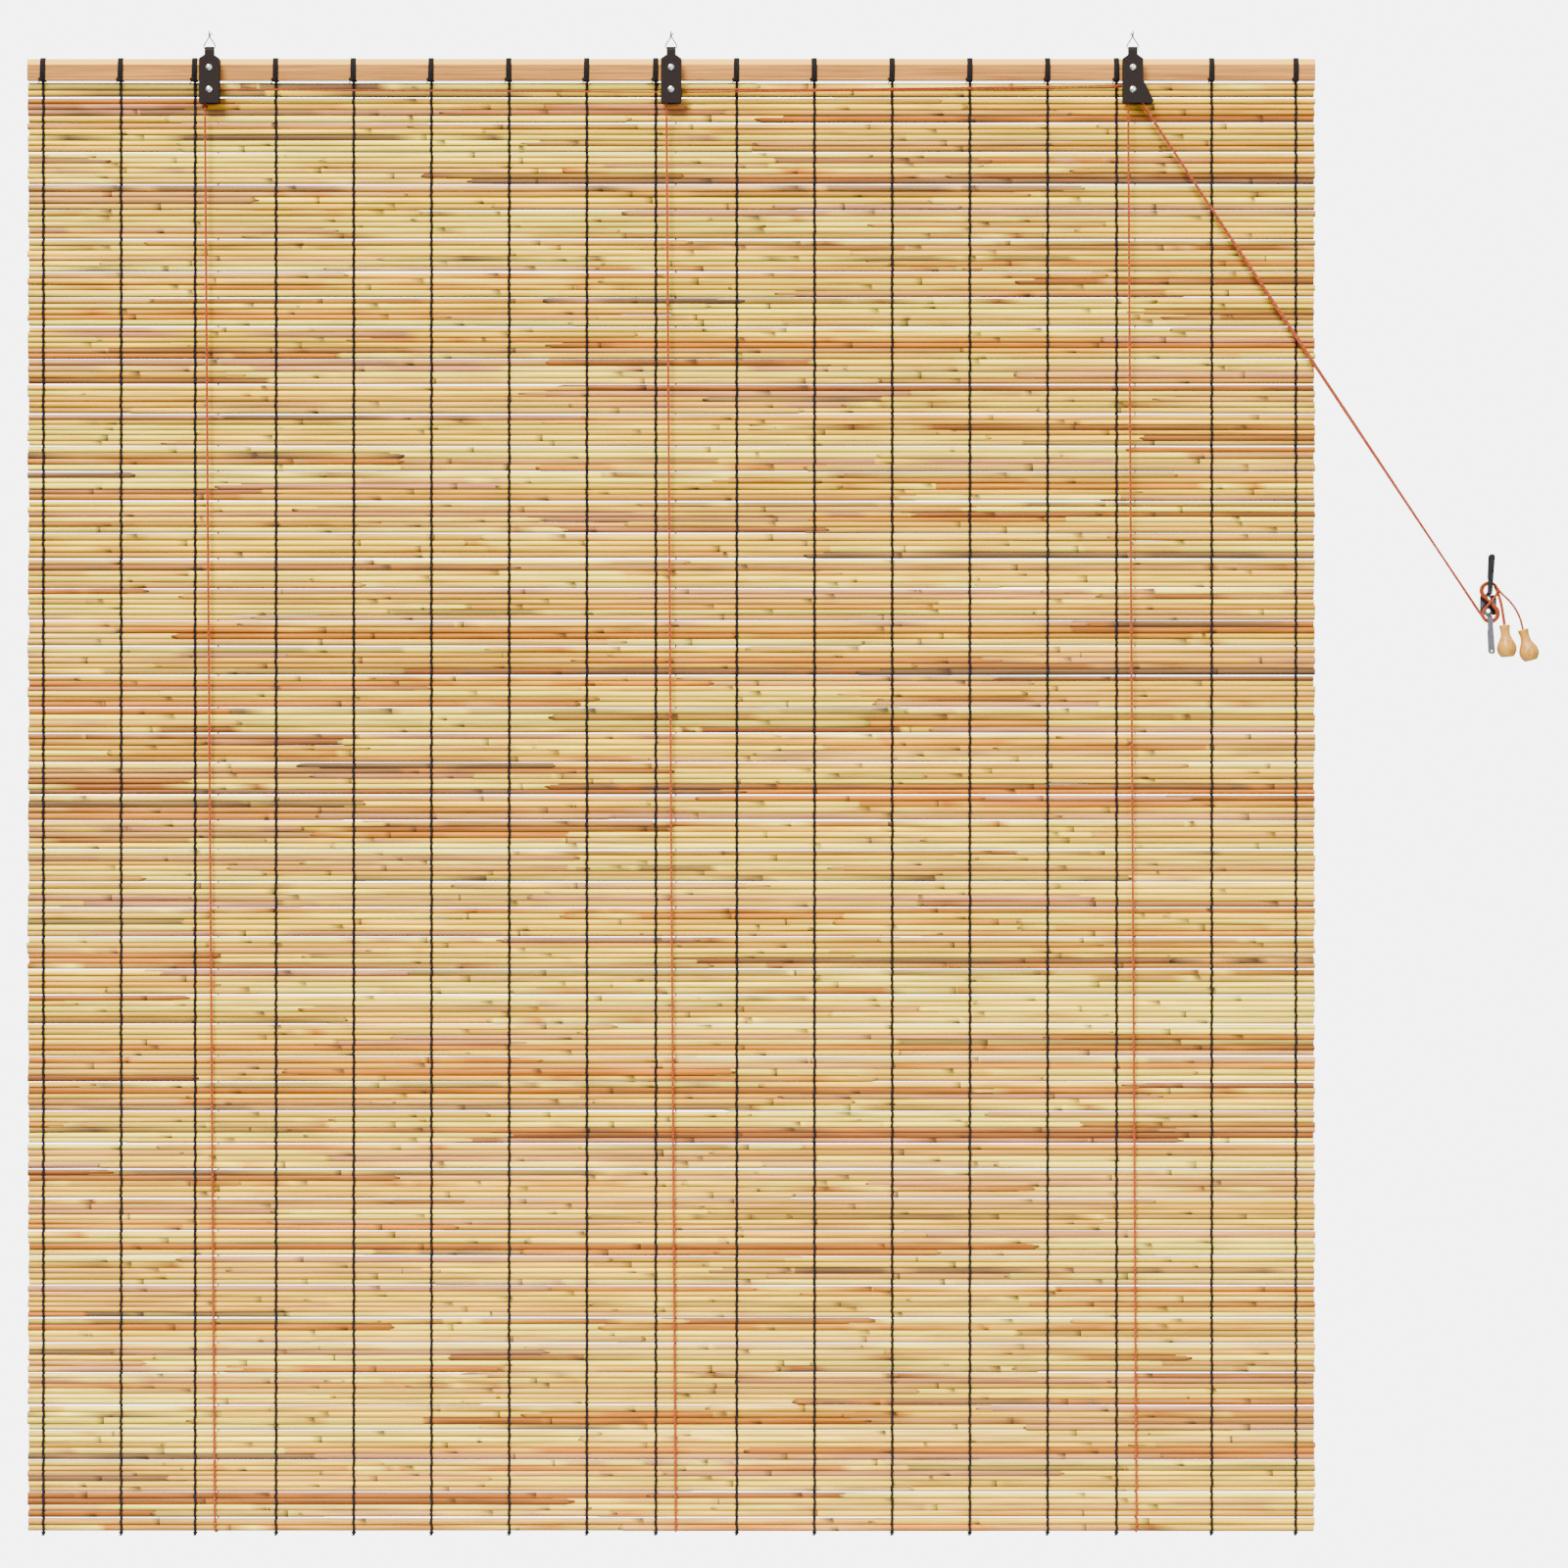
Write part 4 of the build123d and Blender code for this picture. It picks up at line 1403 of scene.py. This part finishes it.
@dataclass
class Cords:
    """The rust coloured cords: lifts, taut runs, winding and tails.

    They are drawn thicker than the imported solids, so that they show before the bright backdrop.

    Attributes:
        routes: Their centre lines.
        lay_mm: Length of one turn of the twist.
        step_mm: Distance between rings.
        strands: Strands in a cord.
        valley: Share of the radius that is left between two strands.
        lift_share: Drawn thickness of a lift cord, as a share of the cord's own.
        front_share: Added share of a lift cord's run down the front of the mat.
        front_top: Height below which that run begins in millimetres.
        front_back: Depth before which it lies in millimetres.
        taut_share: Drawn thickness of a taut cord and of the winding.
        tail_share: Drawn thickness of the single tail.
    """

    routes: CordRoutes = field(default_factory=CordRoutes)
    lay_mm: float = 7.5
    step_mm: float = 1.25
    strands: int = 3
    valley: float = 0.74
    lift_share: float = 1.2
    front_share: float = 1.28
    front_top: float = -88.0
    front_back: float = 9.5
    taut_share: float = 1.5
    tail_share: float = 1.4

    def lobes(
        self, thickness: float, swells: Sequence[float] | None = None
    ) -> Callable[[int, float], list[tuple[float, float]]]:
        """Outline of a twisted cord, which turns as it travels.

        Args:
            thickness: Diameter of the cord in millimetres.
            swells: Share of the diameter at each point of the path, where it isn't even.

        Returns:
            The outline function.
        """
        outer = thickness / 2 * MM
        points = 2 * self.strands

        def shape(i: int, travelled: float) -> list[tuple[float, float]]:
            """Outline after a distance.

            Args:
                i: Number of the path's point.
                travelled: Distance along the cord in metres.

            Returns:
                Points of the outline.
            """
            spin = 2 * math.pi * travelled / (self.lay_mm * MM)
            made = []
            for k in range(points):
                angle = 2 * math.pi * k / points + spin
                radius = (outer if k % 2 == 0 else outer * self.valley) * (swells[i] if swells else 1.0)
                made.append((radius * math.cos(angle), radius * math.sin(angle)))
            return made

        return shape

    def lift_cords(self, finishes: Finishes) -> None:
        """Cords that the brackets and the headrail hold all the way.

        Args:
            finishes: The materials.
        """
        for side in Side:
            corners, radii = self.routes.lift(side)
            path = rounded([c * MM for c in corners], [r * MM for r in radii], self.step_mm * MM)
            draft = Draft()
            before_mat = [p.z < self.front_top * MM and p.y < self.front_back * MM for p in path]
            swells = [self.front_share if before else 1.0 for before in before_mat]
            draft.sweep(path, self.lobes(self.lift_share * self.routes.strand, swells))
            name = f"lift_cord_{side.value}"
            seat(draft.finish(f"{name}_twisted", finishes.rust), name)

    def free_cord(
        self,
        name: str,
        control: Sequence[Vector],
        thickness: float,
        material: bpy.types.Material,
        with_pieces: Sequence[bpy.types.Object],
        replaced: str,
    ) -> None:
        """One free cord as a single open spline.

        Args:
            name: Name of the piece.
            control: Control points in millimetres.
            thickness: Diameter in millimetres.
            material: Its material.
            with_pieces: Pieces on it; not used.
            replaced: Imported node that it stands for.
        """
        curve = bpy.data.curves.new(name, "CURVE")
        curve.dimensions = "3D"
        curve.bevel_depth = thickness / 2 * MM
        curve.bevel_resolution = 3
        curve.resolution_u = 12
        curve.use_fill_caps = True
        curve.materials.append(material)
        spline = curve.splines.new("NURBS")
        spline.points.add(len(control) - 1)
        for point, place in zip(spline.points, control):
            point.co = (*(place * MM), 1.0)
        spline.order_u = 3
        spline.use_endpoint_u = True
        obj = seat(placed(name, curve), replaced)
        bpy.context.view_layer.update()

    def loop(
        self,
        loop: tuple[float, float, float],
        shifts: tuple[float, float],
        start: float,
        end: float,
        y: float,
    ) -> list[Vector]:
        """Points round one loop of the winding.

        Args:
            loop: X, Z and radius of the loop.
            shifts: Added to the radius at its start and at its end.
            start: First angle in degrees.
            end: Last angle in degrees.
            y: Its depth in millimetres.

        Returns:
            The points in millimetres.
        """
        x, z, radius = loop
        count = 26
        made = []
        for i in range(count + 1):
            t = i / count
            angle = math.radians(start + (end - start) * t)
            blend = min(1.0, 3 * t) if abs(shifts[0]) < abs(shifts[1]) else max(0.0, 3 * t - 2)
            far = radius + shifts[0] + (shifts[1] - shifts[0]) * blend
            place = Vector((x + far * math.cos(angle), y, z + far * math.sin(angle)))
            made.append(place + Vector((self.routes.cleat[0], 0, self.routes.cleat[1])))
        return made

    def winding(self, finishes: Finishes) -> bpy.types.Object:
        """Three cords laid twice round the cleat in a figure of eight.

        Args:
            finishes: The materials.

        Returns:
            The winding.
        """
        routes = self.routes
        between = Vector((routes.upper[0] - routes.lower[0], routes.upper[1] - routes.lower[1]))
        lean = math.degrees(math.atan2(between.y, between.x))
        opened = math.degrees(math.acos((routes.upper[2] + routes.lower[2]) / between.length))
        taut, _, touch = routes.taut_line()
        draft = Draft()
        for side in Side:
            y = routes.winding_y + side.lane
            path: list[Vector] = [touch - routes.down(taut) * 8 + Vector((0, y - 0.1, 0))]
            for turn, shift in enumerate((1.1, -1.1)):
                begin = 180 + taut if turn == 0 else lean + opened
                from_shift = 0.0 if turn == 0 else shift
                lower = self.loop(routes.lower, (from_shift, shift), begin, lean - opened + 360, y)
                finish = lean + opened - 180 if turn == 0 else 42.7
                to_shift = shift if turn == 0 else 0.6
                upper = self.loop(routes.upper, (shift, to_shift), lean - opened + 180, finish, y)
                if turn:
                    path.extend(self.bridge(path[-1], lower[0], -1.1))
                path.extend(lower)
                path.extend(self.bridge(lower[-1], upper[0], 1.1))
                path.extend(upper)
            draft.sweep(self.resample([p * MM for p in path]), self.lobes(self.taut_share * routes.strand))
        return seat(draft.finish("cord_winding_turns", finishes.rust), "cord_winding")

    @staticmethod
    def bridge(start: Vector, end: Vector, bulge: float) -> list[Vector]:
        """Points of a crossing between the two loops.

        Args:
            start: Where it leaves one loop.
            end: Where it meets the other.
            bulge: How far it stands aside in the middle in millimetres.

        Returns:
            The points in millimetres, both ends left out.
        """
        made = []
        for i in range(1, 12):
            t = i / 12
            place = start.lerp(end, t)
            place.y += bulge * math.sin(math.pi * t)
            made.append(place)
        return made

    def resample(self, path: Sequence[Vector]) -> list[Vector]:
        """Even spacing along a path.

        Args:
            path: Points in metres.

        Returns:
            Points about one step apart in metres.
        """
        made = [path[0]]
        rest = self.step_mm * MM * 0.8
        for a, b in zip(path, path[1:]):
            while (b - made[-1]).length > rest:
                made.append(made[-1] + (b - made[-1]).normalized() * rest)
        made.append(path[-1])
        return made

    def knot(self, pull: Pull, finishes: Finishes) -> bpy.types.Object:
        """Knot that holds a pull, in its pocket.

        Args:
            pull: The pull.
            finishes: The materials.

        Returns:
            The knot.
        """
        draft = Draft()
        axis = self.routes.down(pull.tilt)
        out = self.routes.side(pull.tilt)
        middle = Vector(pull.top) + axis * 25.0
        path = []
        for i in range(25):
            t = 2 * math.pi * i / 24
            wide = 1.05 * (math.sin(t) + 1.1 * math.sin(2 * t)) * 0.8
            tall = 0.75 * (math.cos(t) - 1.1 * math.cos(2 * t)) * 0.8
            path.append((middle + out * wide + axis * tall + Vector((0, 0.9 * math.sin(3 * t), 0))) * MM)
        draft.sweep(path, self.lobes(self.routes.strand))
        return seat(draft.finish(f"{pull.cord}_knot", finishes.rust), pull.cord)

    def dress(self, finishes: Finishes) -> None:
        """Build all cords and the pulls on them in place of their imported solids.

        Args:
            finishes: The materials.
        """
        self.lift_cords(finishes)
        turns = self.winding(finishes)
        angle, top, bottom = self.routes.taut_line()
        first = top + self.routes.down(angle) * self.routes.past_pin
        for side in Side:
            start = first + Vector((0, side.lane, 0))
            end = start.lerp(bottom + Vector((0, self.routes.winding_y + side.lane, 0)), 0.9895)
            sag = Vector((-0.5, 0, -0.6)) + self.routes.side(angle) * (0.5 * side.lane)
            middle = [start.lerp(end, t) + sag * math.sin(math.pi * t) for t in (0.25, 0.5, 0.75)]
            self.free_cord(
                f"pull_cord_{side.value}_taut",
                [start, *middle, end],
                self.taut_share * self.routes.strand,
                finishes.rust_run,
                (turns,) if side is Side.MIDDLE else (),
                f"pull_cord_{side.value}",
            )
        for pull, control, thickness, material in (
            (
                Pull("pull_left", "tail_cord_pair", (905.6, 6.9, -639.1), 5.6),
                [(895.4, 9.7, -595.9), (899.9, 9.0, -606.4), (903.0, 8.2, -619.6), (904.6, 7.3, -631.4)],
                2 * self.routes.strand,
                finishes.rust_pair,
            ),
            (
                Pull("pull_right", "tail_cord_single", (925.6, 6.9, -644.0), 15.0),
                [
                    (895.4, 6.85, -595.9),
                    (902.1, 7.0, -604.9),
                    (909.6, 6.9, -611.3),
                    (917.2, 6.9, -620.6),
                    (922.9, 6.9, -632.0),
                ],
                self.tail_share * self.routes.strand,
                finishes.rust_tail,
            ),
        ):
            axis = self.routes.down(pull.tilt)
            inside = [Vector(pull.top) - axis * 2, Vector(pull.top) + axis * 24]
            self.free_cord(
                f"{pull.cord}_hanging",
                [*(Vector(place) for place in control), *inside],
                thickness,
                material,
                (self.knot(pull, finishes), pull.dress(finishes)),
                pull.cord,
            )


@dataclass
class HangerWire:
    """Wire triangle whose ends are twisted together and cut off long.

    Attributes:
        side: The bracket it belongs to.
        fold: Drawn thickness of the wire in the bracket's fold in millimetres.
        legs: Drawn thickness of the legs and the twist, which is more so that they show.
        fold_top: Height below which the wire lies in the fold in millimetres.
        base: Half the width and the height of the triangle's base in millimetres.
        knee: The same of the knees, which keep the legs clear of the bracket as the wire swings.
        twist: Height of the twist's lower and upper end in millimetres.
        turns: Turns of the twist.
        radius: Radius of the twist's centre line in millimetres.
    """

    side: Side
    fold: float = 0.95
    legs: float = 1.35
    fold_top: float = -11.6
    base: tuple[float, float] = (6.75, -13.3)
    knee: tuple[float, float] = (5.6, -9.4)
    twist: tuple[float, float] = (-1.2, 1.9)
    turns: float = 1.4
    radius: float = 0.5

    def helix(self, hand: int, phase: float, count: int = 14) -> list[Vector]:
        """One of the two twisted ends, from its top down.

        Args:
            hand: 1, or -1 where the twist is mirrored.
            phase: Angle at which it starts.
            count: Steps along it.

        Returns:
            Points in millimetres.
        """
        low, high = self.twist
        made = []
        for i in range(count + 1):
            t = i / count
            angle = math.pi * 2 * self.turns * t + phase
            across = self.side.x + hand * self.radius * math.cos(angle)
            made.append(Vector((across, self.radius * math.sin(angle), high + (low - high) * t)))
        return made

    def path(self) -> list[Vector]:
        """Centre line from the spur, round the triangle, to the curled spike.

        Returns:
            Points in millimetres.
        """
        x = self.side.x
        spur = -1 if self.side is Side.RIGHT else 1
        made = [Vector((x + spur * 2.9, -0.2, 1.9)), Vector((x + spur * 1.7, -0.2, 2.1))]
        first = self.helix(spur, 0.0)
        made.extend(first)
        base_half, base_z = self.base
        knee_half, knee_z = self.knee
        side = 1 if first[-1].x >= x else -1
        made.extend(
            rounded(
                [
                    first[-1],
                    Vector((x + side * knee_half, 0, knee_z)),
                    Vector((x + side * base_half, 0, base_z)),
                    Vector((x - side * base_half, 0, base_z)),
                    Vector((x - side * knee_half, 0, knee_z)),
                    Vector((2 * x - first[-1].x, -first[-1].y, self.twist[0])),
                ],
                [9.0, 1.2, 1.2, 9.0],
                1.5,
            )[1:]
        )
        made.extend(reversed(self.helix(spur, math.pi)))
        made.append(Vector((x - spur * 0.7, 0, 3.0)))
        made.append(Vector((x - spur * 0.2, 0.1, 4.2)))
        made.append(Vector((x - spur * 0.7, 0.1, 5.3)))
        return made

    def dress(self, finishes: Finishes) -> None:
        """Build the wire on the body that swings.

        Args:
            finishes: The materials.
        """
        draft = Draft()
        path = self.path()
        draft.sweep(
            [p * MM for p in path],
            lambda i, travelled: circle((self.fold if path[i].z < self.fold_top else self.legs) / 2 * MM, 10),
        )
        name = f"hanger_wire_{self.side.value}"
        piece = draft.finish(f"{name}_twisted", finishes.wire)
        seat(piece, name, f"hanger_{self.side.value}_body")


@dataclass
class Hardware:
    """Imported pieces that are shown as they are, with softened edges.

    Attributes:
        sharp: Edges sharper than this stay sharp and are softened, in degrees.
    """

    sharp: float = 35.0

    def dress(self, nodes: dict[str, bpy.types.Object], finishes: Finishes) -> None:
        """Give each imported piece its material.

        Args:
            nodes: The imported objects.
            finishes: The materials.
        """
        kinds = {
            "headrail": (finishes.rail, 0.35),
            "bracket_bolt": (finishes.zinc, 0.0),
            "bracket": (finishes.paint, 0.18),
            "sheave_rivet": (finishes.zinc, 0.0),
            "sheave": (finishes.nylon, 0.0),
            "spacer": (finishes.zinc, 0.0),
            "bolt_nut": (finishes.zinc, 0.2),
            "guide_pin": (finishes.paint, 0.0),
            "cleat": (finishes.cleat, 0.2),
        }
        for name, obj in nodes.items():
            for start, (material, edge) in kinds.items():
                if name.startswith(start) and not obj.hide_render:
                    obj.data.materials.clear()
                    obj.data.materials.append(material)
                    obj.data.shade_smooth()
                    obj.data.set_sharp_from_angle(angle=math.radians(self.sharp))
                    if edge:
                        bevel = obj.modifiers.new("edge", "BEVEL")
                        bevel.width = edge * MM
                        bevel.segments = 2
                        bevel.limit_method = "ANGLE"
                        bevel.angle_limit = math.radians(self.sharp)
                        bevel.harden_normals = False
                    break


@dataclass
class Studio:
    """Pale floor, soft light and the camera in front of the blind.

    Attributes:
        distance: From the camera to the blind in metres.
        centre: Point in the middle of the picture in metres.
        span: Width of the picture at the blind in metres.
        floor_radius: Radius of the floor in metres.
        floor_z: Height of the floor in metres.
        sensor: Width of the camera's sensor in millimetres.
        backdrop: Brightness that the camera sees behind the blind.
        ceiling: Strength of the light from the ceiling.
        ceiling_spread: Its spread in degrees.
        ceiling_aim: Its direction.
    """

    distance: float = 5.0
    centre: tuple[float, float, float] = (0.1225, 0.006, -0.812)
    span: float = 1.704
    floor_radius: float = 1.6
    floor_z: float = -2.1
    sensor: float = 36.0
    backdrop: float = 6.0
    ceiling: float = 9.4
    ceiling_spread: float = 24.0
    ceiling_aim: tuple[float, float, float] = (0.3, 0.62, -0.76)

    def camera(self) -> None:
        """Put the camera straight in front."""
        data = bpy.data.cameras.new("camera")
        data.sensor_width = self.sensor
        data.lens = self.sensor * self.distance / self.span
        data.clip_end = 100.0
        cam = placed("camera", data)
        cam.location = Vector(self.centre) - Vector((0, self.distance, 0))
        cam.rotation_euler = (math.radians(90), 0, 0)
        bpy.context.scene.camera = cam

    def area(self, name: str, place: tuple[float, float, float], size: float, power: float) -> None:
        """Add a soft light that looks at the blind.

        Args:
            name: Its name.
            place: Its place in metres.
            size: Its width in metres.
            power: Its power in watts.
        """
        data = bpy.data.lights.new(name, "AREA")
        data.size = size
        data.energy = power
        lamp = placed(name, data)
        lamp.location = place
        aim = Vector(self.centre) - Vector(place)
        lamp.rotation_euler = aim.to_track_quat("-Z", "Y").to_euler()

    def world(self) -> None:
        """Bright above and dim below, as under a studio ceiling, with a white backdrop behind the blind."""
        world = bpy.data.worlds.new("studio")
        world.use_nodes = True
        tree = world.node_tree
        tree.nodes.clear()

        def add(kind: str, **inputs: object) -> bpy.types.Node:
            """Add a node of the world and fill its inputs.

            Args:
                kind: Type name of the node.
                inputs: Value or output socket by input name, spaces written as underscores.

            Returns:
                The node.
            """
            node = tree.nodes.new(kind)
            for name, value in inputs.items():
                socket = node.inputs[name.replace("_", " ")]
                if isinstance(value, bpy.types.NodeSocket):
                    tree.links.new(value, socket)
                else:
                    socket.default_value = value
            return node

        place = add("ShaderNodeTexCoord")
        axes = add("ShaderNodeSeparateXYZ", Vector=place.outputs["Generated"])
        limits = {"From_Min": -0.35, "From_Max": 0.45, "To_Min": 0.2, "To_Max": 1.2}
        rise = add("ShaderNodeMapRange", Value=axes.outputs["Z"], **limits)
        room = add("ShaderNodeBackground", Strength=rise.outputs[0])
        backdrop = add("ShaderNodeBackground", Strength=self.backdrop)
        for shade in (room, backdrop):
            shade.inputs["Color"].default_value = (1.0, 1.0, 1.0, 1.0)
        seen = add("ShaderNodeLightPath")
        mix = tree.nodes.new("ShaderNodeMixShader")
        tree.links.new(seen.outputs["Is Camera Ray"], mix.inputs[0])
        tree.links.new(room.outputs[0], mix.inputs[1])
        tree.links.new(backdrop.outputs[0], mix.inputs[2])
        add("ShaderNodeOutputWorld", Surface=mix.outputs[0])
        bpy.context.scene.world = world

    def build(self) -> None:
        """Make the floor, the world's light and the lamps."""
        self.world()
        nodes, shader = blank("studio_floor_matte_paint")
        shader.inputs["Base Color"].default_value = linear("#F4F4F2")
        shader.inputs["Roughness"].default_value = 0.9
        mesh = bpy.data.meshes.new("floor")
        rim = [(self.centre[0] + a, b, self.floor_z) for a, b in circle(self.floor_radius, 96)]
        mesh.from_pydata(rim, [], [tuple(range(len(rim)))])
        mesh.materials.append(nodes.material)
        placed("floor", mesh)
        data = bpy.data.lights.new("ceiling", "SUN")
        data.energy = self.ceiling
        data.angle = math.radians(self.ceiling_spread)
        ceiling = placed("ceiling", data)
        ceiling.rotation_euler = Vector(self.ceiling_aim).to_track_quat("-Z", "Y").to_euler()
        self.area("key", (-2.6, -4.4, 3.6), 2.0, 330.0)
        self.area("fill", (3.0, -4.6, 0.4), 2.4, 280.0)
        self.area("back", (0.6, 3.0, 1.4), 1.6, 90.0)


def main() -> None:
    """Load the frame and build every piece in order."""
    logging.basicConfig(level=logging.INFO, format="%(message)s")
    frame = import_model()
    studio = Studio()
    studio.camera()
    finishes = Finishes()
    Cords().dress(finishes)
    LOG.info("cords done")
    mat = ReedMat()
    rows = mat.dress(finishes)
    LOG.info("%d reed rows done", len(rows))
    Bindings().dress(rows, mat, finishes)
    LOG.info("bindings done")
    for side in Side:
        HangerWire(side).dress(finishes)
    Hardware().dress(frame["nodes"], finishes)
    studio.build()
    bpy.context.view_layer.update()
    faces = sum(len(o.data.polygons) for o in bpy.context.scene.objects if o.type == "MESH")
    LOG.info("mesh faces in all: %d", faces)


if __name__ == "__main__":
    main()
